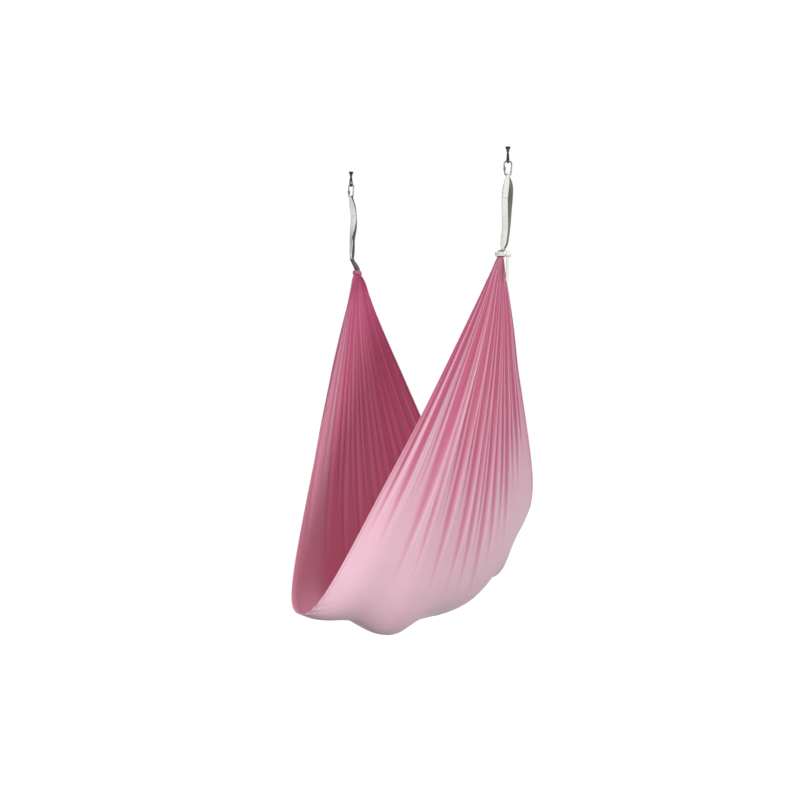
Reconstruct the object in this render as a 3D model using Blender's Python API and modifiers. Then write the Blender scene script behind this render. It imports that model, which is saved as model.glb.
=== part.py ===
# Aerial hammock: a sling of thin knitted nylon, gathered at both ends and hung from two ceiling
# points. Metres, +Z up. The origin lies on the ceiling, midway between the two anchors; the right
# anchor is at +X, the head end of the pocket at -Y and the foot end at +Y.
# Each side hangs as a chain: flared collar, pear eye, screw-lock carabiner, webbing loop, tape loop,
# gathered neck of the cloth. The sides differ in the length and the twist of their webbing.

import math

import bmesh
import bpy
from mathutils import Matrix, Vector

# Overall layout
HANG_SPACING = 0.620          # between the two ceiling anchors
NECK_SPACING = 0.566          # between the two gathered necks, which the cloth pulls inwards
NECK_TOP_DROP = {"right": 0.339, "left": 0.356}       # ceiling to the top of each gathered neck
NECK_LENGTH = 0.014           # straight part of each neck, inside its binding
POCKET_DROP = 1.550           # ceiling to the lowest line of the pocket
POCKET_REACH = 0.700          # hang line to the head end of the pocket
POCKET_HALF_WIDTH = 0.225     # half the width between the two side walls

# Clearances
SEAT_GAP = 0.0003             # between pieces that touch
SWING_GAP = 0.0004            # between the eye and the carabiner that swings in it
CUT_OVERRUN = 0.002           # how far a cutter runs past what it cuts
MERGE_DISTANCE = 0.000005     # between points that a Screw modifier makes one

# Ceiling collar
COLLAR_RADIUS = 0.0085
COLLAR_HEIGHT = 0.016
COLLAR_FOOT_RADIUS = 0.0042
COLLAR_BORE_DEPTH = 0.0115    # depth of the blind hole that takes the shank
COLLAR_RIM_SHARE = 0.125      # of the height, straight under the ceiling
COLLAR_FLARE_SHARES = (0.12, 0.30, 0.50, 0.70, 0.88, 1.00)  # steps down the flare

# Pear eye
EYE_WIRE_RADIUS = 0.00275
EYE_DROP = 0.050              # ceiling to the middle of the wire at the bottom of the eye
EYE_BOTTOM_RADIUS = 0.0082    # of the wire's centre line
EYE_TOP_RADIUS = 0.0032
EYE_TOP_DROP = 0.0222         # ceiling to the centre of the small arc
EYE_TURN = math.radians(97.5)

# Carabiner
CARABINER_ROD_RADIUS = 0.0025
CARABINER_HEIGHT = 0.046      # along the rod's centre line
CARABINER_TOP_RADIUS = 0.012
CARABINER_BAR_WIDTH = 0.020   # between the centre lines of the two lower corners
CARABINER_CORNER_RADIUS = 0.0055
CARABINER_TURN = {"right": math.radians(32.5), "left": math.radians(-10.0)}
HINGE_RISE = 0.005            # from the lower corner's end to the gate's pivot
TONGUE_THICKNESS = 0.0018     # flat of the rod inside the gate's fork
TONGUE_RISE = 0.0022          # above the pivot

# Gate, its rivet and its lock sleeve
GATE_RADIUS = 0.0024
GATE_LENGTH = 0.018           # pivot to tip
GATE_CHAMFER = 0.0004
GATE_STOP_RADIUS = 0.0034
GATE_STOP_HEIGHT = 0.0009
GATE_STOP_RISE = 0.0039       # pivot to the underside of the stop ring
FORK_SLOT_DEPTH = 0.0036      # above the pivot
NOSE_TONGUE_LENGTH = 0.0024
NOSE_TONGUE_THICKNESS = 0.0014
PIN_RADIUS = 0.0007
PIN_HEAD_RADIUS = 0.0013
PIN_HEAD_HEIGHT = 0.0005
SLEEVE_LENGTH = 0.0098        # screwed down, its top stays below the nose as the gate swings
SLEEVE_RADIUS = 0.0041
SLEEVE_BORE_RADIUS = 0.0029
SLEEVE_RIB_DEPTH = 0.0004
SLEEVE_RIBS = 16
SLEEVE_RIB_SHARE = 0.6        # of the pitch that a rib's crest takes

# Webbing
WEBBING_WIDTH = 0.020
WEBBING_THICKNESS = 0.0020
WEBBING_EDGE_SHARE = 0.3      # rounding of the edges, as a share of the thickness
WEBBING_BUNCHED_WIDTH = 0.009 # where it is folded into a bight
STRAP_FOOT_RADIUS = 0.006     # of the lower bight's centre line
STRAP_FOOT_X = {"right": 0.2905, "left": -0.3065}
STRAP_FOOT_Y = {"right": 0.0080, "left": 0.0000}
STRAP_FOOT_DROP = {"right": 0.3220, "left": 0.3025}   # ceiling to the centre of the lower bight
STRAP_SECTION_LENGTH = 0.008  # longest stretch between two cross-sections of a leg

# How each webbing loop runs down: share of the way down; sideways shift of the front and of the rear
# leg and their distance from the middle, as shares of the webbing's width; width as a share of the
# webbing's; turn of the front and of the rear leg in degrees.
STRAP_SHARES = {
    "right": (
        (0.00, 0.00, 0.00, 0.19, 0.45, 32.5, 32.5),
        (0.14, -0.12, 0.40, 0.25, 0.95, 36.0, 5.0),
        (0.30, -0.18, 0.56, 0.32, 1.00, 40.0, -18.0),
        (0.48, -0.12, 0.44, 0.30, 1.00, 30.0, 0.0),
        (0.72, -0.04, 0.42, 0.26, 1.00, 24.0, 14.0),
        (0.90, 0.00, 0.26, 0.28, 1.00, 10.0, 8.0),
        (1.00, 0.00, 0.00, 0.30, 0.45, 0.0, 0.0),
    ),
    "left": (
        (0.00, 0.00, 0.00, 0.19, 0.45, -10.0, -10.0),
        (0.16, 0.26, 0.22, 0.22, 0.95, 14.0, 10.0),
        (0.34, 0.38, 0.34, 0.25, 1.00, 26.0, 22.0),
        (0.52, 0.36, 0.32, 0.27, 1.00, 4.0, 2.0),
        (0.74, 0.20, 0.18, 0.28, 0.90, -32.0, -32.0),
        (0.90, 0.06, 0.06, 0.29, 0.65, -18.0, -18.0),
        (1.00, 0.00, 0.00, 0.30, 0.45, 0.0, 0.0),
    ),
}

# Tape loop sewn into each neck
TAPE_WIDTH = 0.014
TAPE_THICKNESS = 0.0015
TAPE_BUNCHED_WIDTH = 0.007    # inside the webbing's lower bight
TAPE_LOOP_RADIUS = 0.0065     # of the upper bight's centre line
TAPE_TWIST = {"right": 0.0, "left": math.radians(-48)}  # halfway down the loop

# Gathered neck and what binds it
NECK_WIDTH = 0.032            # of the gathered cloth, along Y
NECK_PLEAT_DEPTH = 0.0046     # of the pleats in the neck, from their middle
BINDING_HEIGHT = 0.0120
BINDING_THICKNESS = 0.0016
HITCH_HEIGHT = 0.0110
HITCH_THICKNESS = 0.0022
NECK_OVAL_POWER = 4.0         # 2 is an ellipse, larger is squarer
NECK_OVAL_SIDES = 32
BAND_BULGE_SHARES = (0.0, 0.7, 1.0, 0.7, 0.0)         # of the bulge, up the height of a band
BAND_BULGE_SHARE = 0.5        # how far a band bulges, as a share of its thickness

# Knot of the hitch, and the loose end of the right-hand webbing that hangs from it
KNOT_TURN = math.radians(35.0)  # direction in which the knot stands out from the hitch
KNOT_LENGTH = 0.018
KNOT_HEIGHT = 0.0095
TAIL_LENGTH = 0.098
TAIL_TOP_RISE = 0.006         # above the top of the neck
TAIL_WIDTH_SHARE = 0.5        # of the webbing's width, because it is folded in half
TAIL_PLACE_SHARE = 0.4        # of the knot's length, from the hitch outwards
TAIL_DRIFT = -0.004           # sideways, from the knot to its end

# Cloth
CLOTH_THICKNESS = 0.0008
PLEATS = 7.5                  # main pleats across the cloth
PLEAT_DEPTH = 0.0105          # of the pleats where they are deepest
PLEAT_SEGMENTS = 30           # across the cloth, four for each pleat
LENGTH_SEGMENTS = 8           # from a neck to the bottom line
NECK_FADE_POWER = 12          # how fast the neck's own pleat depth dies out below it
NORMAL_STEP_SHARE = 0.001     # over which the surface's slope is measured

# The pocket, from the head hem to the foot hem: share of the cloth's width; reach along Y, drop and
# half-width as shares of the pocket's; fullness of the curve between side wall and bottom.
POCKET_SHARES = (
    (0.00, -0.970, 0.912, 0.30, 2.6),
    (0.14, -0.850, 0.935, 0.63, 2.0),
    (0.22, -0.700, 0.953, 0.78, 1.9),
    (0.30, -0.540, 0.988, 0.90, 2.0),
    (0.55, -0.060, 1.000, 0.97, 1.9),
    (0.70, 0.270, 0.986, 1.00, 1.9),
    (0.85, 0.580, 0.928, 0.95, 1.9),
    (0.95, 0.755, 0.868, 0.88, 2.2),
    (1.00, 0.820, 0.812, 0.86, 3.0),
)

# Depth of the pleats down the side walls: share of the way from neck to bottom line, share of
# PLEAT_DEPTH. The neck's own depth comes from NECK_PLEAT_DEPTH.
PLEAT_FADE_SHARES = (
    (0.00, 0.00),
    (0.12, 0.62),
    (0.30, 1.00),
    (0.50, 0.80),
    (0.72, 0.30),
    (0.90, 0.06),
    (1.00, 0.00),
)

# Worked out from the sizes above
SIDES = {"right": 1, "left": -1}
NECK_TOP_Z = {side: -drop for side, drop in NECK_TOP_DROP.items()}
NECK_FOOT_Z = {side: top - NECK_LENGTH for side, top in NECK_TOP_Z.items()}
CARABINER_TOP_Z = -EYE_DROP + EYE_WIRE_RADIUS + SWING_GAP + CARABINER_ROD_RADIUS
CARABINER_MIDDLE_Z = CARABINER_TOP_Z - CARABINER_HEIGHT / 2
BAR_Z = CARABINER_TOP_Z - CARABINER_HEIGHT
STRAP_HEAD_RADIUS = CARABINER_ROD_RADIUS + SEAT_GAP + WEBBING_THICKNESS / 2
NECK_X = NECK_SPACING / 2
BINDING_HALF_DEPTH = NECK_PLEAT_DEPTH + CLOTH_THICKNESS / 2 + TAPE_THICKNESS + 2 * SEAT_GAP
BINDING_HALF_WIDTH = NECK_WIDTH / 2 + CLOTH_THICKNESS / 2 + SEAT_GAP


def clear_scene():
    for item in list(bpy.data.objects):
        bpy.data.objects.remove(item, do_unlink=True)


def new_collection(name):
    collection = bpy.data.collections.new(name)
    bpy.context.scene.collection.children.link(collection)
    return collection


def make_material(name, colour, roughness, metallic=0.0):
    material = bpy.data.materials.new(name)
    material.use_nodes = True
    shader = material.node_tree.nodes["Principled BSDF"]
    shader.inputs["Base Color"].default_value = (*colour, 1.0)
    shader.inputs["Roughness"].default_value = roughness
    shader.inputs["Metallic"].default_value = metallic
    return material


def add_object(name, data, material, parent=None, location=(0, 0, 0), rotation=(0, 0, 0)):
    item = bpy.data.objects.new(name, data)
    PARTS.objects.link(item)
    item.data.materials.append(material)
    item.parent = parent
    item.location = location
    item.rotation_euler = rotation
    return item


def add_empty(name, parent=None, location=(0, 0, 0), rotation=(0, 0, 0)):
    item = bpy.data.objects.new(name, None)
    PARTS.objects.link(item)
    item.parent = parent
    item.location = location
    item.rotation_euler = rotation
    return item


def finish_mesh(mesh, angle=math.radians(35)):
    mesh.shade_smooth()
    mesh.set_sharp_from_angle(angle=angle)


def interpolate(table, share):
    """A smooth curve through the rows of a table, whose first column is the share."""
    last = len(table) - 1
    row = max(i for i in range(last) if table[i][0] <= max(share, table[0][0]))

    def slope(i, column):
        before, after = table[max(i - 1, 0)], table[min(i + 1, last)]
        return (after[column] - before[column]) / (after[0] - before[0])

    start, end = table[row], table[row + 1]
    step = end[0] - start[0]
    t = (share - start[0]) / step
    values = []
    for column in range(1, len(start)):
        value = (1 + 2 * t) * (1 - t) ** 2 * start[column]
        value += t * (1 - t) ** 2 * step * slope(row, column)
        value += t * t * (3 - 2 * t) * end[column]
        value += t * t * (t - 1) * step * slope(row + 1, column)
        values.append(value)
    return values


def arc(centre, radius, start, end, steps):
    """Points of an arc in the X-Z plane, from one angle to the other in degrees."""
    points = []
    for i in range(steps + 1):
        angle = math.radians(start + (end - start) * i / steps)
        points.append(Vector((centre[0] + radius * math.cos(angle), 0, centre[1] + radius * math.sin(angle))))
    return points


def tube_mesh(name, points, radius, closed=False, sides_resolution=2):
    """A round wire along the points, as a mesh whose caps are welded."""
    curve = bpy.data.curves.new(name, "CURVE")
    curve.dimensions = "3D"
    curve.bevel_depth = radius
    curve.bevel_resolution = sides_resolution
    curve.use_fill_caps = not closed
    spline = curve.splines.new("POLY")
    spline.points.add(len(points) - 1)
    for control, point in zip(spline.points, points):
        control.co = (*point, 1)
    spline.use_cyclic_u = closed
    guide = bpy.data.objects.new(name, curve)
    PARTS.objects.link(guide)
    bpy.context.view_layer.update()
    evaluated = guide.evaluated_get(bpy.context.evaluated_depsgraph_get())
    mesh = bpy.data.meshes.new_from_object(evaluated)
    bpy.data.objects.remove(guide, do_unlink=True)
    work = bmesh.new()
    work.from_mesh(mesh)
    bmesh.ops.remove_doubles(work, verts=work.verts, dist=radius / 1000)
    bmesh.ops.recalc_face_normals(work, faces=work.faces)
    work.to_mesh(mesh)
    work.free()
    finish_mesh(mesh)
    return mesh


def turned_mesh(name, profile):
    """The profile of a turned piece as edges in the X-Z plane, for a Screw modifier."""
    mesh = bpy.data.meshes.new(name)
    edges = [(i, i + 1) for i in range(len(profile) - 1)]
    mesh.from_pydata([(x, 0, z) for x, z in profile], edges, [])
    return mesh


def add_screw(item, steps=24):
    screw = item.modifiers.new("turn", "SCREW")
    screw.axis = "Z"
    screw.steps = steps
    screw.render_steps = steps
    screw.use_merge_vertices = True
    screw.merge_threshold = MERGE_DISTANCE
    screw.use_smooth_shade = True
    return screw


def loft_mesh(name, rings, closed=False):
    """A skin through rings with equal numbers of points. Open lofts get an end face each."""
    work = bmesh.new()
    rows = [[work.verts.new(point) for point in ring] for ring in rings]
    count = len(rows[0])
    pairs = list(zip(rows, rows[1:]))
    if closed:
        pairs.append((rows[-1], rows[0]))
    for first, second in pairs:
        for i in range(count):
            j = (i + 1) % count
            work.faces.new((first[i], first[j], second[j], second[i]))
    if not closed:
        work.faces.new(rows[0])
        work.faces.new(rows[-1])
    bmesh.ops.recalc_face_normals(work, faces=work.faces)
    mesh = bpy.data.meshes.new(name)
    work.to_mesh(mesh)
    work.free()
    finish_mesh(mesh)
    return mesh


def add_cutter(name, mesh, parent, location=(0, 0, 0), rotation=(0, 0, 0)):
    item = bpy.data.objects.new(name, mesh)
    CUTTERS.objects.link(item)
    item.parent = parent
    item.location = location
    item.rotation_euler = rotation
    item.hide_render = True
    item.display_type = "WIRE"
    return item


def box_mesh(name, size, centre=(0, 0, 0)):
    work = bmesh.new()
    bmesh.ops.create_cube(work, size=1.0)
    bmesh.ops.scale(work, vec=size, verts=work.verts)
    bmesh.ops.translate(work, vec=centre, verts=work.verts)
    mesh = bpy.data.meshes.new(name)
    work.to_mesh(mesh)
    work.free()
    return mesh


def rod_mesh(name, radius, length, axis="Z", segments=20):
    work = bmesh.new()
    bmesh.ops.create_cone(work, cap_ends=True, segments=segments, radius1=radius, radius2=radius, depth=length)
    if axis == "Y":
        bmesh.ops.rotate(work, matrix=Matrix.Rotation(math.radians(90), 3, "X"), verts=work.verts)
    mesh = bpy.data.meshes.new(name)
    work.to_mesh(mesh)
    work.free()
    finish_mesh(mesh)
    return mesh


def boolean(item, other, operation="DIFFERENCE"):
    modifier = item.modifiers.new(f"{operation.lower()}_{other.name}", "BOOLEAN")
    modifier.operation = operation
    modifier.solver = "EXACT"
    modifier.object = other
    return modifier


# Ceiling collar: a flared cup with a flat top against the ceiling and a blind bore from below
def make_collar(side, parent):
    bore_radius = EYE_WIRE_RADIUS + SEAT_GAP
    bore_top = -COLLAR_HEIGHT + COLLAR_BORE_DEPTH
    flare = COLLAR_RADIUS - COLLAR_FOOT_RADIUS
    rim = COLLAR_HEIGHT * COLLAR_RIM_SHARE
    profile = [(0, 0), (COLLAR_RADIUS - rim / 4, 0), (COLLAR_RADIUS, -rim / 4), (COLLAR_RADIUS, -rim)]
    for share in COLLAR_FLARE_SHARES:
        radius = COLLAR_FOOT_RADIUS + flare * (1 - share) ** 2
        profile.append((radius, -rim - share * (COLLAR_HEIGHT - rim)))
    profile += [(bore_radius, -COLLAR_HEIGHT), (bore_radius, bore_top), (0, bore_top)]
    collar = add_object(f"ceiling_collar_{side}", turned_mesh("collar", profile), BLACK_STEEL, parent)
    add_screw(collar, steps=28)
    return collar


# Pear eye: one wire, a shank in the collar and a drop-shaped ring welded shut under it
def make_eye(side, parent):
    rise = EYE_DROP - EYE_BOTTOM_RADIUS - EYE_TOP_DROP
    lean = math.degrees(math.asin((EYE_BOTTOM_RADIUS - EYE_TOP_RADIUS) / rise))
    top = (0, -EYE_TOP_DROP)
    bottom = (0, -EYE_DROP + EYE_BOTTOM_RADIUS)
    ring = arc(top, EYE_TOP_RADIUS, lean, 180 - lean, 6)
    ring += arc(bottom, EYE_BOTTOM_RADIUS, 180 - lean, 360 + lean, 18)
    eye = add_object(
        f"eye_{side}", tube_mesh("eye", ring, EYE_WIRE_RADIUS, closed=True), BLACK_STEEL, parent,
        rotation=(0, 0, EYE_TURN),
    )
    shank_top = -COLLAR_HEIGHT + COLLAR_BORE_DEPTH - SEAT_GAP
    shank_foot = -EYE_TOP_DROP + EYE_TOP_RADIUS
    shank = add_cutter(
        f"eye_shank_{side}", rod_mesh("shank", EYE_WIRE_RADIUS, shank_top - shank_foot, segments=16), eye,
        location=(0, 0, (shank_top + shank_foot) / 2),
    )
    boolean(eye, shank, "UNION")
    return eye


def gate_line():
    """Lower end, pivot and upper end of the carabiner's gate side, and its lean, in its own plane."""
    half_height = CARABINER_HEIGHT / 2
    lower = Vector((-CARABINER_BAR_WIDTH / 2, 0, -half_height + CARABINER_CORNER_RADIUS))
    upper = Vector((-CARABINER_TOP_RADIUS, 0, half_height - CARABINER_TOP_RADIUS))
    direction = (upper - lower).normalized()
    pivot = lower + direction * HINGE_RISE
    lean = math.atan2(direction.x, direction.z)
    return lower, pivot, upper, direction, lean


# Carabiner body: one bent rod, open where the gate stands, with a flat tongue at each end
def make_carabiner(side, frame):
    lower, pivot, upper, direction, lean = gate_line()
    half_height = CARABINER_HEIGHT / 2
    bar = CARABINER_BAR_WIDTH / 2 - CARABINER_CORNER_RADIUS
    corner_z = -half_height + CARABINER_CORNER_RADIUS
    nose = pivot + direction * (GATE_LENGTH + SEAT_GAP)
    points = [pivot + direction * TONGUE_RISE, pivot, lower]
    points += arc((-bar, corner_z), CARABINER_CORNER_RADIUS, 180, 270, 5)[1:]
    points += arc((bar, corner_z), CARABINER_CORNER_RADIUS, 270, 360, 5)
    points += arc((0, upper.z), CARABINER_TOP_RADIUS, 0, 180, 14)
    points += [nose - direction * NOSE_TONGUE_LENGTH]
    body = add_object(
        f"carabiner_{side}", tube_mesh("carabiner", points, CARABINER_ROD_RADIUS, sides_resolution=2), STEEL, frame,
    )
    # The cheeks beside each tongue are cut away
    hinge_height = GATE_RADIUS + SEAT_GAP + TONGUE_RISE + CUT_OVERRUN
    hinge_centre = (TONGUE_RISE + CUT_OVERRUN - GATE_RADIUS - SEAT_GAP) / 2
    nose_height = NOSE_TONGUE_LENGTH + CUT_OVERRUN
    nose_centre = GATE_LENGTH + SEAT_GAP - nose_height / 2
    ends = (
        ("hinge", TONGUE_THICKNESS, hinge_height, hinge_centre),
        ("nose", NOSE_TONGUE_THICKNESS, nose_height, nose_centre),
    )
    for name, thickness, height, centre in ends:
        for face in (1, -1):
            depth = 2 * CARABINER_ROD_RADIUS
            size = (2 * CARABINER_ROD_RADIUS + CUT_OVERRUN, depth, height)
            middle = (0, face * (thickness + depth) / 2, centre)
            cheek = add_cutter(
                f"{name}_cheek_{side}_{face}", box_mesh("cheek", size, middle), frame,
                location=pivot, rotation=(0, lean, 0),
            )
            boolean(body, cheek)
    hole = add_cutter(
        f"rivet_hole_{side}",
        rod_mesh("rivet_hole", PIN_RADIUS + SEAT_GAP, 2 * CARABINER_ROD_RADIUS + CUT_OVERRUN, axis="Y", segments=12),
        frame, location=pivot,
    )
    boolean(body, hole)
    return body


# Gate: a turned bar with a round foot, forked over the body's tongue, and a slot for the nose
def make_gate(side, frame):
    _, pivot, _, _, lean = gate_line()
    profile = [(0, GATE_LENGTH), (GATE_RADIUS - GATE_CHAMFER, GATE_LENGTH)]
    profile += [(GATE_RADIUS, GATE_LENGTH - GATE_CHAMFER)]
    profile += [(GATE_RADIUS, GATE_STOP_RISE + GATE_STOP_HEIGHT)]
    profile += [(GATE_STOP_RADIUS, GATE_STOP_RISE + GATE_STOP_HEIGHT), (GATE_STOP_RADIUS, GATE_STOP_RISE)]
    profile += [(GATE_RADIUS, GATE_STOP_RISE)]
    for step in range(7):
        angle = math.radians(90 * step / 6)
        profile.append((GATE_RADIUS * math.cos(angle), -GATE_RADIUS * math.sin(angle)))
    profile[-1] = (0, -GATE_RADIUS)
    gate = add_object(
        f"gate_{side}", turned_mesh("gate", profile), STEEL, frame, location=pivot, rotation=(0, lean, 0),
    )
    add_screw(gate, steps=20)
    wide = 2 * GATE_STOP_RADIUS + CUT_OVERRUN
    fork_height = FORK_SLOT_DEPTH + GATE_RADIUS + CUT_OVERRUN
    fork = box_mesh("fork_slot", (wide, TONGUE_THICKNESS + 2 * SEAT_GAP, fork_height))
    fork_middle = FORK_SLOT_DEPTH - fork_height / 2
    nose_height = NOSE_TONGUE_LENGTH + SEAT_GAP + CUT_OVERRUN
    nose = box_mesh("nose_slot", (wide, NOSE_TONGUE_THICKNESS + 2 * SEAT_GAP, nose_height))
    nose_middle = GATE_LENGTH + CUT_OVERRUN - nose_height / 2
    hole = rod_mesh("gate_hole", PIN_RADIUS + SEAT_GAP, wide, axis="Y", segments=12)
    for name, mesh, height in (("fork", fork, fork_middle), ("nose", nose, nose_middle), ("hole", hole, 0)):
        boolean(gate, add_cutter(f"{name}_cut_{side}", mesh, gate, location=(0, 0, height)))
    return gate


# Rivet: the gate's hinge pin, with a low head on each side
def make_rivet(side, frame):
    _, pivot, _, _, _ = gate_line()
    half = GATE_RADIUS + SEAT_GAP
    tip = half + PIN_HEAD_HEIGHT
    edge = PIN_HEAD_HEIGHT / 2
    profile = [(0, tip), (PIN_HEAD_RADIUS - edge, tip), (PIN_HEAD_RADIUS, tip - edge), (PIN_HEAD_RADIUS, half)]
    profile += [(PIN_RADIUS, half), (PIN_RADIUS, -half), (PIN_HEAD_RADIUS, -half)]
    profile += [(PIN_HEAD_RADIUS, -tip + edge), (PIN_HEAD_RADIUS - edge, -tip), (0, -tip)]
    rivet = add_object(
        f"gate_rivet_{side}", turned_mesh("rivet", profile), STEEL, frame,
        location=pivot, rotation=(math.radians(90), 0, 0),
    )
    add_screw(rivet, steps=12)
    return rivet


# Lock sleeve: a ribbed nut on the gate. Here it is screwed down, and the gate is free to open
def make_sleeve(side, gate):
    curve = bpy.data.curves.new("sleeve", "CURVE")
    curve.dimensions = "2D"
    curve.fill_mode = "BOTH"
    curve.extrude = SLEEVE_LENGTH / 2
    outline = []
    half_rib = SLEEVE_RIB_SHARE / 2
    groove_radius = SLEEVE_RADIUS - SLEEVE_RIB_DEPTH
    for rib in range(SLEEVE_RIBS):
        for turn, radius in ((-half_rib, SLEEVE_RADIUS), (half_rib, SLEEVE_RADIUS), (0.5, groove_radius)):
            outline.append((radius, 2 * math.pi * (rib + turn) / SLEEVE_RIBS))
    bore = [(SLEEVE_BORE_RADIUS, 2 * math.pi * i / 24) for i in range(24)]
    for ring in (outline, bore):
        spline = curve.splines.new("POLY")
        spline.points.add(len(ring) - 1)
        for control, (radius, angle) in zip(spline.points, ring):
            control.co = (radius * math.cos(angle), radius * math.sin(angle), 0, 1)
        spline.use_cyclic_u = True
    foot = GATE_STOP_RISE + GATE_STOP_HEIGHT + SEAT_GAP
    return add_object(f"lock_sleeve_{side}", curve, STEEL, gate, location=(0, 0, foot + SLEEVE_LENGTH / 2))


def webbing_ring(centre, across, through, width, thickness):
    """One cross-section of a band: eight points of a flat bar with eased edges."""
    half, thin = width / 2, thickness / 2
    edge = thickness * WEBBING_EDGE_SHARE
    outline = (
        (half - edge, thin), (half, thin - edge), (half, edge - thin), (half - edge, -thin),
        (edge - half, -thin), (-half, edge - thin), (-half, thin - edge), (edge - half, thin),
    )
    return [centre + across * u + through * v for u, v in outline]


def band_mesh(name, stations, thickness, closed):
    """A band of webbing. Each station is its centre, the direction across it and its width."""
    rings = []
    count = len(stations)
    for i, (centre, across, width) in enumerate(stations):
        after = stations[(i + 1) % count][0] if closed or i < count - 1 else centre
        before = stations[i - 1][0] if closed or i else centre
        along = (after - before).normalized()
        across = (across - along * across.dot(along)).normalized()
        rings.append(webbing_ring(centre, across, across.cross(along), width, thickness))
    return loft_mesh(name, rings, closed)


def level(angle):
    return Vector((math.cos(angle), math.sin(angle), 0))


def strap_foot(side):
    return Vector((STRAP_FOOT_X[side], STRAP_FOOT_Y[side], -STRAP_FOOT_DROP[side]))


# Webbing loop: over the carabiner's bar, down in two legs and through the tape loop
def make_strap(side):
    rows = STRAP_SHARES[side]
    head = Vector((SIDES[side] * HANG_SPACING / 2, 0, BAR_Z))
    foot = strap_foot(side)
    steps = math.ceil((foot - head).length / STRAP_SECTION_LENGTH)
    legs = {"front": [], "rear": []}
    for i in range(1, steps):
        front_shift, rear_shift, distance, width, front_turn, rear_turn = interpolate(rows, i / steps)
        middle = head.lerp(foot, i / steps)
        apart = level(math.radians((front_turn + rear_turn) / 2 + 90)) * distance * WEBBING_WIDTH
        for leg, face, shift, turn in (("front", -1, front_shift, front_turn), ("rear", 1, rear_shift, rear_turn)):
            across = level(math.radians(turn))
            sideways = level(math.radians((front_turn + rear_turn) / 2)) * shift * WEBBING_WIDTH
            legs[leg].append((middle + apart * face + sideways, across, width * WEBBING_WIDTH))

    def bight(centre, radius, turn, start):
        across, out = level(turn), level(turn + math.pi / 2)
        points = []
        for step in range(9):
            angle = math.radians(start + 180 * step / 8)
            spot = centre + (out * math.cos(angle) + Vector((0, 0, 1)) * math.sin(angle)) * radius
            points.append((spot, across, WEBBING_BUNCHED_WIDTH))
        return points

    stations = bight(head, STRAP_HEAD_RADIUS, math.radians(rows[0][5]), 0)
    stations += legs["front"]
    stations += bight(foot, STRAP_FOOT_RADIUS, math.radians(rows[-1][5]), 180)
    stations += reversed(legs["rear"])
    mesh = band_mesh("webbing_loop", stations, WEBBING_THICKNESS, closed=True)
    return add_object(f"webbing_loop_{side}", mesh, WHITE_WEBBING)


# Tape loop: through the webbing's lower bight, both ends bound into the neck
def make_tape_loop(side):
    held = strap_foot(side)
    bunched = TAPE_BUNCHED_WIDTH / 2
    inner = STRAP_FOOT_RADIUS - WEBBING_THICKNESS / 2
    seat = held.z - math.sqrt(inner ** 2 - bunched ** 2) + SEAT_GAP
    shoulder = WEBBING_BUNCHED_WIDTH / 2
    loop_inner = TAPE_LOOP_RADIUS - TAPE_THICKNESS / 2
    centre = Vector((held.x, held.y, seat - math.sqrt(loop_inner ** 2 - shoulder ** 2) + SEAT_GAP))
    neck_x = SIDES[side] * NECK_X
    leg_reach = NECK_PLEAT_DEPTH + CLOTH_THICKNESS / 2 + SEAT_GAP + TAPE_THICKNESS / 2
    knee = NECK_TOP_Z[side] + 2 * TAPE_THICKNESS
    across = Vector((0, 1, 0))
    arch = []
    for step in range(13):
        angle = math.radians(180 * step / 12)
        spot = centre + Vector((math.cos(angle), 0, math.sin(angle))) * TAPE_LOOP_RADIUS
        arch.append((spot, across, TAPE_BUNCHED_WIDTH))
    stations = list(arch)
    for face, add in ((1, lambda row: stations.insert(0, row)), (-1, stations.append)):
        middle = Vector((neck_x, 0, knee))
        steps = max(3, math.ceil((centre - middle).length / STRAP_SECTION_LENGTH))
        for i in range(1, steps + 1):
            share = i / steps
            width = TAPE_BUNCHED_WIDTH + (TAPE_WIDTH - TAPE_BUNCHED_WIDTH) * min(1, 2 * share)
            apart = TAPE_LOOP_RADIUS + (leg_reach - TAPE_LOOP_RADIUS) * share
            turn = TAPE_TWIST[side] * math.sin(math.pi * share)
            spot = centre.lerp(middle, share) + level(turn) * face * apart
            add((spot, level(turn + math.pi / 2), width))
        foot = NECK_TOP_Z[side] - BINDING_HEIGHT
        add((Vector((neck_x + face * leg_reach, 0, foot)), across, TAPE_WIDTH))
    mesh = band_mesh("tape_loop", stations, TAPE_THICKNESS, closed=False)
    return add_object(f"tape_loop_{side}", mesh, TAPE_MATERIAL[side])


def oval_band(name, side, half_depth, half_width, height, thickness, material):
    """A sewn band round the neck: an upright oval wall with its thickness outside."""
    work = bmesh.new()
    points = []
    count = NECK_OVAL_SIDES
    for i in range(count):
        angle = 2 * math.pi * i / count
        c, s = math.cos(angle), math.sin(angle)
        reach = (abs(c) ** NECK_OVAL_POWER + abs(s) ** NECK_OVAL_POWER) ** (-1 / NECK_OVAL_POWER)
        points.append((half_depth * c * reach, half_width * s * reach))
    rows = []
    last = len(BAND_BULGE_SHARES) - 1
    for i, bulge in enumerate(BAND_BULGE_SHARES):
        grow = bulge * BAND_BULGE_SHARE * thickness
        z = (i / last - 0.5) * height
        rows.append([
            work.verts.new((x * (1 + grow / half_depth), y * (1 + grow / half_width), z)) for x, y in points
        ])
    for first, second in zip(rows, rows[1:]):
        for i in range(count):
            j = (i + 1) % count
            work.faces.new((first[i], first[j], second[j], second[i]))
    mesh = bpy.data.meshes.new(name)
    work.to_mesh(mesh)
    work.free()
    finish_mesh(mesh)
    middle_z = NECK_TOP_Z[side] - BINDING_HEIGHT / 2
    band = add_object(name, mesh, material, location=(SIDES[side] * NECK_X, 0, middle_z))
    solidify = band.modifiers.new("thickness", "SOLIDIFY")
    solidify.thickness = thickness
    solidify.offset = 1.0
    return band


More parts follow.
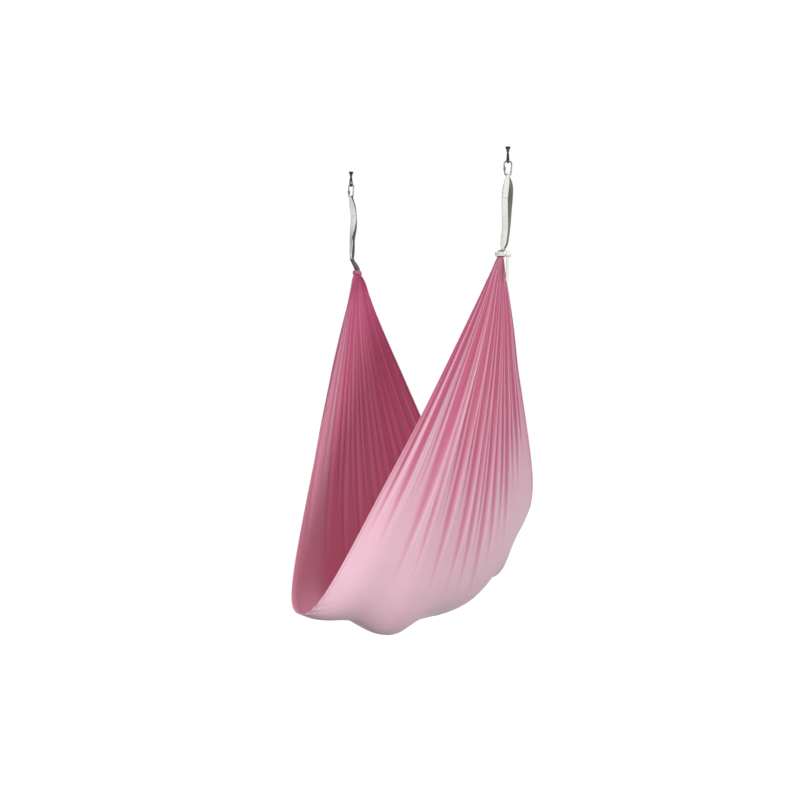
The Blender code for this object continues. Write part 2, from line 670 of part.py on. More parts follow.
def make_neck_bands():
    for side in SIDES:
        oval_band(
            f"neck_binding_{side}", side, BINDING_HALF_DEPTH, BINDING_HALF_WIDTH, BINDING_HEIGHT,
            BINDING_THICKNESS, PINK_CLOTH,
        )
    # The hitch goes round the bulge of the right-hand binding
    grow = BINDING_THICKNESS * (1 + BAND_BULGE_SHARE) + SEAT_GAP
    oval_band(
        "hitch_band_right", "right", BINDING_HALF_DEPTH + grow, BINDING_HALF_WIDTH + grow,
        HITCH_HEIGHT, HITCH_THICKNESS, WHITE_WEBBING,
    )


def pocket_point(side, share, across_share):
    """Smooth middle surface of the cloth: share 0 at the neck's foot, 1 on the bottom line."""
    reach, drop, half_width, fullness = interpolate(POCKET_SHARES, across_share)
    sign = SIDES[side]
    neck = Vector((sign * NECK_X, (2 * across_share - 1) * NECK_WIDTH / 2, NECK_FOOT_Z[side]))
    corner = Vector((sign * half_width * POCKET_HALF_WIDTH, reach * POCKET_REACH, -drop * POCKET_DROP))
    bottom = Vector((0, corner.y, corner.z))
    weights = ((1 - share) ** 2, 2 * fullness * share * (1 - share), share ** 2)
    total = sum(weights)
    return (neck * weights[0] + corner * weights[1] + bottom * weights[2]) / total


def pleated_point(side, share, across_share):
    """The cloth with its main pleats, pushed out along the surface's normal."""
    step = NORMAL_STEP_SHARE
    here = pocket_point(side, share, across_share)
    low, high = max(share - step, 0), min(share + step, 1)
    left, right = max(across_share - step, 0), min(across_share + step, 1)
    along = pocket_point(side, high, across_share) - pocket_point(side, low, across_share)
    across = pocket_point(side, share, right) - pocket_point(side, share, left)
    normal = along.cross(across).normalized()
    if side == "left":
        normal.negate()
    fade = interpolate(PLEAT_FADE_SHARES, share)[0]
    depth = NECK_PLEAT_DEPTH * (1 - share) ** NECK_FADE_POWER + PLEAT_DEPTH * fade
    return here + normal * depth * math.sin(2 * math.pi * PLEATS * across_share)


# Cloth: one wide sheet, gathered into pleats at each neck and spread smooth along the bottom
def make_cloth():
    columns = [i / PLEAT_SEGMENTS for i in range(PLEAT_SEGMENTS + 1)]
    rows = []
    for side in ("right", "left"):
        neck = [pleated_point(side, 0, share) for share in columns]
        lift = Vector((0, 0, NECK_LENGTH))
        half = [[point + lift for point in neck], neck]
        for step in range(1, LENGTH_SEGMENTS + 1):
            half.append([pleated_point(side, step / LENGTH_SEGMENTS, share) for share in columns])
        rows += half if side == "right" else half[-2::-1]
    work = bmesh.new()
    grid = [[work.verts.new(point) for point in row] for row in rows]
    for first, second in zip(grid, grid[1:]):
        for i in range(PLEAT_SEGMENTS):
            work.faces.new((first[i], first[i + 1], second[i + 1], second[i]))
    mesh = bpy.data.meshes.new("hammock_cloth")
    work.to_mesh(mesh)
    work.free()
    finish_mesh(mesh, angle=math.radians(60))
    cloth = add_object("hammock_cloth", mesh, PINK_CLOTH)
    solidify = cloth.modifiers.new("thickness", "SOLIDIFY")
    solidify.thickness = CLOTH_THICKNESS
    solidify.offset = 0.0
    return cloth


def knot_spot(share):
    """The middle of the knot, at this share of its length from the hitch outwards."""
    half = WEBBING_THICKNESS + SEAT_GAP + WEBBING_THICKNESS / 2
    hitch = BINDING_HALF_DEPTH + BINDING_THICKNESS * (1 + BAND_BULGE_SHARE) + SEAT_GAP
    hitch += HITCH_THICKNESS + BAND_BULGE_SHARE * HITCH_THICKNESS
    nearest = (hitch + SEAT_GAP + half) / math.cos(KNOT_TURN)
    reach = nearest + (KNOT_LENGTH - 2 * half) * share
    return Vector((NECK_X, 0, NECK_TOP_Z["right"] - BINDING_HEIGHT / 2)) + level(KNOT_TURN) * reach


# Knot of the hitch: a short turn of webbing that stands out from it and holds the loose end
def make_knot():
    radius = WEBBING_THICKNESS + SEAT_GAP
    along, aside = level(KNOT_TURN), level(KNOT_TURN + math.pi / 2)
    up = Vector((0, 0, 1))
    stations = []
    for centre, start in ((knot_spot(1.0), -90), (knot_spot(0.0), 90)):
        for step in range(9):
            angle = math.radians(start + 180 * step / 8)
            spot = centre + (along * math.cos(angle) + aside * math.sin(angle)) * radius
            stations.append((spot, up, KNOT_HEIGHT))
    mesh = band_mesh("hitch_knot", stations, WEBBING_THICKNESS, closed=True)
    return add_object("hitch_knot_right", mesh, WHITE_WEBBING)


# Loose end of the right-hand webbing: through the knot, then straight down beside the rear hem
def make_tail():
    across = level(KNOT_TURN)
    top = NECK_TOP_Z["right"] + TAIL_TOP_RISE
    steps = math.ceil(TAIL_LENGTH / STRAP_SECTION_LENGTH)
    stations = []
    for i in range(steps + 1):
        share = i / steps
        spot = knot_spot(TAIL_PLACE_SHARE) + across * TAIL_DRIFT * share ** 2
        spot.z = top - TAIL_LENGTH * share
        stations.append((spot, across, WEBBING_WIDTH * TAIL_WIDTH_SHARE))
    mesh = band_mesh("webbing_tail", stations, WEBBING_THICKNESS, closed=False)
    return add_object("webbing_tail_right", mesh, WHITE_WEBBING)


clear_scene()
PARTS = new_collection("aerial_hammock")
CUTTERS = new_collection("cutters")
BLACK_STEEL = make_material("black_steel", (0.035, 0.033, 0.030), 0.42, 0.8)
STEEL = make_material("carabiner_steel", (0.38, 0.39, 0.38), 0.30, 1.0)
WHITE_WEBBING = make_material("white_webbing", (0.82, 0.82, 0.80), 0.75)
GREY_TAPE = make_material("grey_tape", (0.30, 0.26, 0.26), 0.80)
PINK_CLOTH = make_material("pink_cloth", (0.72, 0.28, 0.42), 0.65)
TAPE_MATERIAL = {"right": WHITE_WEBBING, "left": GREY_TAPE}

ceiling_line = add_empty("ceiling_line")
swing_axis = add_empty("swing_axis", ceiling_line, location=(0, 0, CARABINER_TOP_Z))
for side_name, side_sign in SIDES.items():
    anchor = add_empty(f"anchor_{side_name}", ceiling_line, location=(side_sign * HANG_SPACING / 2, 0, 0))
    make_collar(side_name, anchor)
    make_eye(side_name, anchor)
    carabiner_frame = add_empty(
        f"carabiner_frame_{side_name}", swing_axis,
        location=(side_sign * HANG_SPACING / 2, 0, CARABINER_MIDDLE_Z - CARABINER_TOP_Z),
        rotation=(0, 0, CARABINER_TURN[side_name]),
    )
    make_carabiner(side_name, carabiner_frame)
    make_rivet(side_name, carabiner_frame)
    gate_object = make_gate(side_name, carabiner_frame)
    make_sleeve(side_name, gate_object)
    make_strap(side_name)
    make_tape_loop(side_name)
make_neck_bands()
make_cloth()
make_knot()
make_tail()
bpy.context.view_layer.update()
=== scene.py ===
# %% [markdown]
# # An aerial hammock
# A wide sheet of knitted nylon is gathered at both ends and hung from two ceiling points. This
# notebook dresses the plain model of it. The metal pieces keep their exact places and get smooth faces
# and a finish. Cloth, webbing and tape are modelled again with folds, edges, weave and stitches.

# %% Load the frame
import math

import bmesh
import bpy
import numpy as np
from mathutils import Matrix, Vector


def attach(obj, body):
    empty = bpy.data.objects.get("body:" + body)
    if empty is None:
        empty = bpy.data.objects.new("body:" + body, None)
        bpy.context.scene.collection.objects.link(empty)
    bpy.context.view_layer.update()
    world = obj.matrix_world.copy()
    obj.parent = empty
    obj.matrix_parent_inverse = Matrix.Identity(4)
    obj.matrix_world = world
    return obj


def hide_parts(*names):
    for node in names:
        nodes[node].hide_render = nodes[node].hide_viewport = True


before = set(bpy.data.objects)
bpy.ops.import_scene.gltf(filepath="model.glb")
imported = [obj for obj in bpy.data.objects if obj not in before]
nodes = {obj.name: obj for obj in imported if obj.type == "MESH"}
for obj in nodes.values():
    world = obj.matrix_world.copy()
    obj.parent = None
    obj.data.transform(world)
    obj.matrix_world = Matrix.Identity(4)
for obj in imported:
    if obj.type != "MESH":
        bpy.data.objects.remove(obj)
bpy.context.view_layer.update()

# %% [markdown]
# ## Camera
# The photograph was taken with a level camera, a little above the middle of the sling and turned 32.5
# degrees to the hang line. Keeping the camera level keeps the hangers upright, so nothing is shifted.

# %% Place the camera
CAMERA_TURN = math.radians(32.5)
CAMERA_PLACE = (1.6465, -2.7453, -0.8156)
SENSOR_WIDTH = 36.0
FOCAL_PIXELS = 941.0
PICTURE_PIXELS = 800.0


def add_object(name, data):
    item = bpy.data.objects.new(name, data)
    bpy.context.scene.collection.objects.link(item)
    return item


camera_data = bpy.data.cameras.new("camera")
camera_data.sensor_width = SENSOR_WIDTH
camera_data.lens = SENSOR_WIDTH * FOCAL_PIXELS / PICTURE_PIXELS
camera = add_object("camera", camera_data)
camera.location = CAMERA_PLACE
camera.rotation_euler = (math.radians(90), 0, CAMERA_TURN)
bpy.context.scene.camera = camera
bpy.context.scene.view_settings.view_transform = "Standard"
print("lens:", round(camera_data.lens, 2), "mm")

# %% [markdown]
# ## Colours and node helpers
# Colours are read off a picture as values from 0 to 255, but shaders want linear light, so one helper
# turns the first into the second. The others keep the node trees short: each adds one kind of node,
# takes plain values and sockets alike, and gives back what the next node needs.

# %% Helpers for colours and nodes
def srgb(red, green, blue):
    """A colour as seen on a screen, 0 to 255, as the linear values that a shader takes."""
    linear = []
    for value in (red, green, blue):
        share = value / 255
        linear.append(share / 12.92 if share <= 0.04045 else ((share + 0.055) / 1.055) ** 2.4)
    return (*linear, 1.0)


def feed(tree, node, inputs):
    """Sets inputs by their name or number: a socket is linked, a plain value is written."""
    for key, value in inputs.items():
        if isinstance(value, bpy.types.NodeSocket):
            tree.links.new(value, node.inputs[key])
        else:
            node.inputs[key].default_value = value


def add_node(tree, kind, inputs=None, **settings):
    node = tree.nodes.new(kind)
    for name, value in settings.items():
        setattr(node, name, value)
    feed(tree, node, inputs or {})
    return node


def mix_colour(tree, factor, first, second):
    """A Mix node. Its colour sockets share their names with others, so they go by number."""
    colours = {0: factor, 6: first, 7: second}
    return add_node(tree, "ShaderNodeMix", colours, data_type="RGBA").outputs[2]


def maths(tree, operation, first, second=0.0):
    return add_node(tree, "ShaderNodeMath", {0: first, 1: second}, operation=operation).outputs[0]


def ridges(tree, turn):
    """Rounded ridges side by side, one for every half turn."""
    return maths(tree, "ABSOLUTE", maths(tree, "SINE", turn))


def spread(tree, value, low, high, new_low=0.0, new_high=1.0):
    """Maps a range of values smoothly onto another one, and stops at its ends."""
    names = {"Value": value, "From Min": low, "From Max": high, "To Min": new_low, "To Max": new_high}
    return add_node(tree, "ShaderNodeMapRange", names, interpolation_type="SMOOTHSTEP").outputs[0]


def noise(tree, vector, scale, detail, distortion=0.0):
    names = {"Vector": vector, "Scale": scale, "Detail": detail, "Distortion": distortion}
    return add_node(tree, "ShaderNodeTexNoise", names).outputs[0]


def point_value(tree, name):
    """Reads the number that is kept on each point under this name."""
    return add_node(tree, "ShaderNodeAttribute", attribute_name=name).outputs["Fac"]


# %% Helpers for groups and materials
def new_group(name, numbers, outputs):
    """An empty group: a place and numbers with their usual values go in, named numbers come out."""
    group = bpy.data.node_groups.new(name, "ShaderNodeTree")
    add_socket = group.interface.new_socket
    add_socket("Vector", in_out="INPUT", socket_type="NodeSocketVector")
    for label, value in numbers.items():
        add_socket(label, in_out="INPUT", socket_type="NodeSocketFloat").default_value = value
    for label in outputs:
        add_socket(label, in_out="OUTPUT", socket_type="NodeSocketFloat")
    return group, group.nodes.new("NodeGroupInput").outputs, group.nodes.new("NodeGroupOutput")


def use_group(tree, group, inputs):
    return add_node(tree, "ShaderNodeGroup", inputs, node_tree=group).outputs


def new_material(name, roughness, metallic=0.0):
    """A material, its node tree and its Principled shader."""
    material = bpy.data.materials.new(name)
    material.use_nodes = True
    tree = material.node_tree
    shader = tree.nodes["Principled BSDF"]
    feed(tree, shader, {"Roughness": roughness, "Metallic": metallic})
    return material, tree, shader


def set_bump(tree, shader, height, distance, strength=1.0):
    """Lets a height tilt the light on the surface. Distance is its full height in metres."""
    names = {"Height": height, "Distance": distance, "Strength": strength}
    feed(tree, shader, {"Normal": add_node(tree, "ShaderNodeBump", names).outputs["Normal"]})


# %% [markdown]
# ## Effects that several materials share
# Fabric of every kind has loose fibres and slightly uneven dye. Woven webbing and tape both show
# crossing yarns, at their own pitches. Metal that is handled gets fine scuffs. Each effect is one node
# group, built once and placed in each material with that material's values.

# %% Fibre group: uneven dye and a fibrous surface
DYE_PATCH_SCALE = 9.0

fibre, group_in, group_out = new_group("fibre", {"Scale": 600.0}, ["Dye", "Height"])
patch = noise(fibre, group_in["Vector"], DYE_PATCH_SCALE, 3.0)
hairs = noise(fibre, group_in["Vector"], group_in["Scale"], 2.0)
feed(fibre, group_out, {"Dye": patch, "Height": hairs})

# %% Weave group: crossing yarns of a flat woven band, in the band's own coordinates
WEFT_RELIEF = 0.6
GAP_HEIGHT = 0.35

pitches = {"Warp pitch": 0.0012, "Weft pitch": 0.0016}
weave, group_in, group_out = new_group("weave", pitches, ["Height", "Gap"])
axes = add_node(weave, "ShaderNodeSeparateXYZ", {0: group_in["Vector"]}).outputs
warp_count = maths(weave, "DIVIDE", axes[0], group_in["Warp pitch"])
weft_count = maths(weave, "DIVIDE", axes[1], group_in["Weft pitch"])
warp_wave = ridges(weave, maths(weave, "MULTIPLY", warp_count, math.pi))
# Each yarn's crown is shifted by a step from the one beside it, as in a twill
step = maths(weave, "MULTIPLY", maths(weave, "FLOOR", warp_count), math.pi / 2)
weft_wave = ridges(weave, maths(weave, "ADD", maths(weave, "MULTIPLY", weft_count, math.pi), step))
weft_lift = maths(weave, "ADD", maths(weave, "MULTIPLY", weft_wave, WEFT_RELIEF), 1 - WEFT_RELIEF)
crown = maths(weave, "MULTIPLY", warp_wave, weft_lift)
feed(weave, group_out, {"Height": crown, "Gap": spread(weave, crown, 0.0, GAP_HEIGHT, 1.0, 0.0)})

# %% Scuff group: fine scratches and rubbed patches of handled metal
SCRATCH_SCALE = 1400.0
SCRATCH_STRETCH = (1.0, 1.0, 0.12)

scuff, group_in, group_out = new_group("scuff", {"Scale": 120.0}, ["Rubbed", "Scratches"])
rub = noise(scuff, group_in["Vector"], group_in["Scale"], 4.0, distortion=0.4)
drawn_out = {"Vector": group_in["Vector"], "Scale": SCRATCH_STRETCH}
stretched = add_node(scuff, "ShaderNodeMapping", drawn_out).outputs[0]
scratches = noise(scuff, stretched, SCRATCH_SCALE, 2.0)
feed(scuff, group_out, {"Rubbed": spread(scuff, rub, 0.45, 0.72), "Scratches": scratches})
print("groups:", ", ".join(group.name for group in bpy.data.node_groups))

# %% [markdown]
# ## Metal finishes
# The collars and eyes are steel with a black finish that has rubbed thin in patches. The carabiners are
# plain zinc-plated steel: grey, a little mottled and finely scratched.

# %% Black steel and carabiner steel
SCRATCH_DEPTH = 0.00004


def metal_finish(name, base, worn, roughness, worn_roughness, metallic, scale):
    material, tree, shader = new_material(name, roughness, metallic)
    place = add_node(tree, "ShaderNodeTexCoord").outputs["Object"]
    marks = use_group(tree, scuff, {"Vector": place, "Scale": scale})
    colour = mix_colour(tree, marks["Rubbed"], base, worn)
    rough = spread(tree, marks["Rubbed"], 0.0, 1.0, roughness, worn_roughness)
    feed(tree, shader, {"Base Color": colour, "Roughness": rough})
    set_bump(tree, shader, marks["Scratches"], SCRATCH_DEPTH)
    return material


BLACK_STEEL = metal_finish("black_steel", base=srgb(34, 32, 30), worn=srgb(72, 68, 64),
                           roughness=0.48, worn_roughness=0.34, metallic=0.6, scale=90.0)
CARABINER_STEEL = metal_finish("carabiner_steel", base=srgb(112, 112, 108), worn=srgb(160, 160, 154),
                               roughness=0.40, worn_roughness=0.28, metallic=1.0, scale=140.0)
print("metal finishes:", BLACK_STEEL.name, "and", CARABINER_STEEL.name)

# %% [markdown]
# ## The sheet
# The sheet is about one metre wide and 2.8 m long. Gathered at both ends, it hangs as two cones of
# folds that open into a stretched pocket. A simulation would lose the folds that the photograph shows,
# so the surface is drawn by a formula: each lengthwise line is a smooth curve from the neck round to
# the bottom line, and folds are raised on it along its normal. The part of the sheet near the bottom
# is stretched, which makes this fabric paler, so a stretch value is stored on each point. The same
# value carries painted highlights along the folds' crests and painted shade in their troughs.

# %% Sizes of the sheet, in metres
NECK_SPACING = 0.566
NECK_TOP_DROP = {"right": 0.339, "left": 0.356}
NECK_LENGTH = 0.014
NECK_WIDTH = 0.032
NECK_DEPTH = 0.0046
POCKET_DROP = 1.550
POCKET_REACH = 0.700
POCKET_HALF_WIDTH = 0.225
CUT_WIDTH = 1.0
CUT_LENGTH = 2.8
CLOTH_THICKNESS = 0.0008
SIDES = {"right": 1, "left": -1}

# Share of the cloth's width; reach, drop and half-width as shares of the pocket's; fullness of curve
POCKET_SHARES = (
    (0.00, -0.970, 0.912, 0.30, 2.6),
    (0.14, -0.850, 0.935, 0.63, 2.0),
    (0.22, -0.700, 0.953, 0.78, 1.9),
    (0.30, -0.540, 0.988, 0.90, 2.0),
    (0.55, -0.060, 1.000, 0.97, 1.9),
    (0.70, 0.270, 0.986, 1.00, 1.9),
    (0.85, 0.580, 0.928, 0.95, 1.9),
    (0.95, 0.755, 0.868, 0.88, 2.2),
    (1.00, 0.820, 0.812, 0.86, 3.0),
)


# %% Helpers for curves, and the smooth pocket
def smooth_step(value, low, high):
    """0 below the low value, 1 above the high one and a soft slope between them."""
    t = np.clip((value - low) / (high - low), 0, 1)
    return t * t * (3 - 2 * t)


def unit(vectors):
    return vectors / np.linalg.norm(vectors, axis=-1)[..., None]


def smooth_table(table, shares):
    """Smooth curves through the rows of a table, read at many shares at once: one column each."""
    rows = np.array(table, float)
    shares = np.asarray(shares, float)
    slopes = np.gradient(rows[:, 1:], rows[:, 0], axis=0)
    slopes[1:-1] = (rows[2:, 1:] - rows[:-2, 1:]) / (rows[2:, :1] - rows[:-2, :1])
    row = np.clip(np.searchsorted(rows[:, 0], shares, side="right") - 1, 0, len(rows) - 2)
    length = (rows[row + 1, 0] - rows[row, 0])[..., None]
    t = (shares - rows[row, 0])[..., None] / length
    value = (1 + 2 * t) * (1 - t) ** 2 * rows[row, 1:] + t * (1 - t) ** 2 * length * slopes[row]
    value += t * t * (3 - 2 * t) * rows[row + 1, 1:] + t * t * (t - 1) * length * slopes[row + 1]
    return np.moveaxis(value, -1, 0)


def pocket_surface(side, down, across):
    """The smooth cloth. Down runs from the neck's foot to the bottom line, across from the head hem."""
    reach, drop, half_width, fullness = smooth_table(POCKET_SHARES, across)
    sign = SIDES[side]
    same = np.ones_like(across)
    foot_z = -NECK_TOP_DROP[side] - NECK_LENGTH
    neck = np.stack([same * sign * NECK_SPACING / 2, (across - 0.5) * NECK_WIDTH, same * foot_z], -1)
    corner = np.stack([sign * half_width * POCKET_HALF_WIDTH, reach * POCKET_REACH,
                       -drop * POCKET_DROP], -1)
    bottom = corner * np.array([0.0, 1.0, 1.0])
    first = ((1 - down) ** 2)[..., None]
    second = (2 * fullness * down * (1 - down))[..., None]
    third = (down ** 2)[..., None]
    return (neck * first + corner * second + bottom * third) / (first + second + third)


# %% [markdown]
# ### The folds
# Under tension a thin knit makes sharp ridges. Each ridge is tight along its crest, where the cloth
# turns pale and carries a painted highlight, and drops steeply on one side into a deep pink trough,
# partly slack cloth and partly painted shade. On its other side it slopes gently away, painted paler
# as painted light. The ridges run from the neck and die out to a point where the sheet is stretched
# flat. The main ones are placed where the photograph has them.

# %% Tables of the main folds and of the bottom
# Share across, share down where it ends, height in metres, half-width as a share of the cloth's width
FOLDS = {
    "right": (
        (0.050, 0.46, 0.0080, 0.018), (0.130, 0.52, 0.0160, 0.024), (0.188, 0.32, 0.0060, 0.012),
        (0.237, 0.66, 0.0170, 0.017), (0.272, 0.62, 0.0130, 0.011), (0.318, 0.40, 0.0070, 0.012),
        (0.370, 0.66, 0.0180, 0.020), (0.425, 0.40, 0.0070, 0.013), (0.472, 0.72, 0.0170, 0.019),
        (0.530, 0.76, 0.0150, 0.015), (0.562, 0.56, 0.0080, 0.010), (0.606, 0.80, 0.0150, 0.016),
        (0.655, 0.62, 0.0130, 0.016), (0.705, 0.54, 0.0090, 0.013), (0.760, 0.56, 0.0140, 0.018),
        (0.815, 0.42, 0.0090, 0.014), (0.872, 0.42, 0.0110, 0.018), (0.940, 0.34, 0.0060, 0.014),
    ),
    "left": (
        (0.060, 0.34, 0.0070, 0.014), (0.115, 0.30, 0.0060, 0.012), (0.172, 0.56, 0.0130, 0.017),
        (0.230, 0.36, 0.0070, 0.012), (0.300, 0.56, 0.0140, 0.018), (0.352, 0.38, 0.0070, 0.012),
        (0.408, 0.58, 0.0130, 0.016), (0.455, 0.42, 0.0070, 0.011), (0.500, 0.60, 0.0130, 0.016),
        (0.548, 0.40, 0.0060, 0.011), (0.595, 0.60, 0.0140, 0.017), (0.650, 0.40, 0.0080, 0.013),
        (0.705, 0.50, 0.0100, 0.014), (0.765, 0.62, 0.0170, 0.020), (0.825, 0.46, 0.0090, 0.014),
        (0.882, 0.48, 0.0120, 0.018), (0.945, 0.36, 0.0070, 0.014),
    ),
}
# How far the bottom of each half is lifted: share across, height in metres
BOTTOM_LIFT = {
    "right": (
        (0.00, 0.000), (0.10, -0.003), (0.16, -0.001), (0.215, 0.001), (0.26, -0.001),
        (0.293, -0.006), (0.33, -0.012), (0.36, -0.010), (0.39, 0.000), (0.42, 0.009),
        (0.46, 0.015), (0.52, 0.012), (0.58, 0.004), (0.66, 0.001), (0.72, 0.006),
        (0.765, 0.008), (0.80, -0.004), (0.83, -0.024), (0.862, 0.010), (0.90, 0.022),
        (0.94, 0.008), (1.00, -0.016),
    ),
    "left": (
        (0.00, 0.000), (0.10, 0.004), (0.16, 0.014), (0.215, 0.028), (0.26, 0.040), (0.31, 0.040),
        (0.36, 0.026), (0.42, 0.012), (0.50, 0.008), (0.66, 0.004), (0.80, 0.006), (1.00, 0.006),
    ),
}

# %% Shape of one fold, and the main folds of one half
CREST_ROUNDING = 0.03
CREST_TOP = 0.173
STEEP_FALL = 0.62
GENTLE_FALL = 1.25
FOLD_DRIFT = 0.005
FOLD_START_WIDTH = 1.20
FOLD_END_WIDTH = 0.40
# Tension round a crest with painted light and shade: a pale band on the gentle side, a painted
# highlight on the crest and painted shade on the steep side. Amount, place and spread, both in
# half-widths of the fold
TAUT_AND_SHADING_STRIPES = ((0.70, 0.75, 0.80), (-1.00, -1.05, 0.85), (0.35, 0.00, 0.18))


def fold_profile(t):
    """A sharp crest at 0, steep on the side of the head hem and gently sloping on the other."""
    fall = np.where(t < 0, STEEP_FALL, GENTLE_FALL)
    return np.exp((CREST_TOP - np.sqrt(t * t + CREST_ROUNDING)) / fall)


def main_folds(side, down, across, reach_up):
    """Height of the folds of the table, each a little wavy and narrower as it ends, and their tension
    with painted highlight and shade.
    """
    height = np.zeros_like(down)
    taut_and_shading = np.zeros_like(down)
    for number, (place, end, tall, half) in enumerate(FOLDS[side]):
        drift = FOLD_DRIFT * np.sin(8.0 * down + 2.4 * number)
        narrowing = (FOLD_START_WIDTH - FOLD_END_WIDTH) * smooth_step(down, 0, end)
        taper = FOLD_START_WIDTH - narrowing
        t = (across - place - drift) / (half * taper)
        fade = 1 - smooth_step(down, end * 0.45, end)
        height += tall * reach_up * fade * taper * fold_profile(t)
        for amount, middle, wide in TAUT_AND_SHADING_STRIPES:
            taut_and_shading += fade * amount * np.exp(-((t - middle) / wide) ** 2)
    return height, taut_and_shading


# %% Fine pleats, crinkles and the gathers of the neck
FULL_WIDTH = 0.50
FINE_PLEATS = 43
FINE_HEIGHT = 0.0034
FINE_END = (0.08, 0.42)
NECK_PLEATS = 22
NECK_REACH = 0.012
CRINKLE_HEIGHT = {"right": 0.0020, "left": 0.0007}
CRINKLE_REACH = 0.035
# How deep the cloth lies inside its smooth surface, and where down that starts and ends to fade
RECESS = {"right": (0.0125, 0.55, 0.92), "left": (0.0060, 0.30, 0.62)}


def fold_height(side, down, across, width):
    """How far the cloth stands out from its smooth surface, and its tension there with painted
    highlight and shade, from -1 to 1.
    """
    reach_up = np.minimum(1.0, (width / FULL_WIDTH) ** 0.9)
    height, taut_and_shading = main_folds(side, down, across, reach_up)
    # Fine pleats between the folds, made uneven by a few long waves
    shifted = across + 0.010 * np.sin(7.0 * across + 3.0) + 0.004 * np.sin(20.0 * down)
    uneven = 0.6 + 0.4 * np.sin(23.0 * across + 1.3) * np.sin(11.0 * across + 0.4 + 6.0 * down)
    fine = uneven * (1 - smooth_step(down, *FINE_END))
    wave = 0.5 - np.abs(np.sin(math.pi * FINE_PLEATS * shifted)) ** 0.8
    height += FINE_HEIGHT * reach_up * fine * wave
    # Pleat crests are painted paler and troughs darker, painted highlight and painted shade
    taut_and_shading += 0.8 * fine * wave
    # Towards the foot hem the cloth lies a little inside its smooth surface, so ridges just reach it
    recess, fade_start, fade_end = RECESS[side]
    recess = recess * across * reach_up * smooth_step(down, 0.01, 0.10)
    height -= recess * (1 - smooth_step(down, fade_start, fade_end))
    # Small crinkles where the head hem turns under the pocket
    near_hem = np.exp(-across / CRINKLE_REACH) * smooth_step(down, 0.66, 0.84)
    near_hem *= 1 - smooth_step(down, 0.94, 1.0)
    crinkle = np.sin(2 * math.pi * (13 * down + 16 * across))
    crinkle += 0.6 * np.sin(2 * math.pi * (23 * down - 9 * across))
    height += CRINKLE_HEIGHT[side] * near_hem * crinkle
    # The crinkles get painted highlight on their crests and painted shade in their troughs
    taut_and_shading += 0.5 * near_hem * crinkle
    # Even gathers inside the neck
    gather = np.exp(-down / NECK_REACH)
    height *= 1 - gather
    height += NECK_DEPTH * gather * np.sin(2 * math.pi * NECK_PLEATS * across)
    return height, np.clip(taut_and_shading, -1, 1)


# %% [markdown]
# ### Building the sheet
# A grid primitive is the flat sheet. Its points are then moved onto the formula's surface. Rows are
# packed closer near the necks, where the cloth turns most for its length.

# %% Helpers for pieces that start as a flat grid
SEAM_GAP = 0.00001


def deselect():
    bpy.ops.object.select_all(action="DESELECT")


def select_only(item):
    deselect()
    item.select_set(True)
    bpy.context.view_layer.objects.active = item


def add_grid(name, columns, rows):
    """A flat grid from 0 to 1 each way, and the two shares of each of its points."""
    deselect()
    bpy.ops.mesh.primitive_grid_add(x_subdivisions=columns, y_subdivisions=rows, size=1,
                                    location=(0, 0, 0))
    item = bpy.context.object
    item.name = name
    item.data.name = name
    flat = np.zeros(len(item.data.vertices) * 3)
    item.data.vertices.foreach_get("co", flat)
    flat = flat.reshape(-1, 3) + 0.5
    return item, np.clip(flat[:, 0], 0, 1), np.clip(flat[:, 1], 0, 1)


def place_points(item, points):
    item.data.vertices.foreach_set("co", np.asarray(points, np.float32).ravel())
    item.data.update()


def store(item, name, values):
    """Keeps a number on each point, for the material to read. One value alone goes to all points."""
    attribute = item.data.attributes.new(name, "FLOAT", "POINT")
    attribute.data.foreach_set("value", np.full(len(item.data.vertices), values, np.float32))


def set_uv(item, across, along):
    """Puts the piece's own coordinates, in metres, into its UV map."""
    corners = np.zeros(len(item.data.loops), int)
    item.data.loops.foreach_get("vertex_index", corners)
    pairs = np.stack([across[corners], along[corners]], -1)
    item.data.uv_layers.active.data.foreach_set("uv", pairs.astype(np.float32).ravel())


# %% Helpers that finish a piece
def close_seam(item, turn_outwards=False):
    """Merges the points where a round piece meets itself, and can turn all its faces outwards."""
    select_only(item)
    bpy.ops.object.mode_set(mode="EDIT")
    bpy.ops.mesh.select_all(action="SELECT")
    bpy.ops.mesh.remove_doubles(threshold=SEAM_GAP)
    if turn_outwards:
        bpy.ops.mesh.normals_make_consistent(inside=False)
    bpy.ops.object.mode_set(mode="OBJECT")


def apply_modifier(item, kind, **settings):
    select_only(item)
    modifier = item.modifiers.new(kind.lower(), kind)
    for name, value in settings.items():
        setattr(modifier, name, value)
    bpy.ops.object.modifier_apply(modifier=modifier.name)


def thicken(item, thickness, **settings):
    """Gives a surface its thickness to both sides, and marks the points of its inner face."""
    inner_count = len(item.data.vertices)
    apply_modifier(item, "SOLIDIFY", thickness=thickness, offset=0.0, **settings)
    store(item, "inside", np.arange(len(item.data.vertices)) < inner_count)


def smooth_shade(item, angle=None):
    select_only(item)
    if angle is None:
        bpy.ops.object.shade_smooth()
    else:
        bpy.ops.object.shade_smooth_by_angle(angle=math.radians(angle))


def finish_piece(item, material, slot, *replaced, body="sling"):
    """Gives a piece its material and its body, and hides the plain pieces that it stands for."""
    item.data.materials.clear()
    item.data.materials.append(material)
    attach(item, body)
    if replaced:
        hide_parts(*replaced)


# %% Where the sheet hangs free of its smooth surface
# Bunched cloth under each neck: how far it stands out at the head hem and at the foot hem, in metres
SHOULDERS = {"right": (0.0060, 0.0010), "left": (0.0040, 0.0135)}
SHOULDER_DROP = {"right": 0.034, "left": 0.027}
# Pull of the head hem on the right: distance, its middle and its reach as shares down and across
HEM_PULL = (0.014, 0.12, 0.12, 0.20)
LIFT_START = (0.55, 0.90)
MIDDLE_BLEND = (-0.10, 0.14)


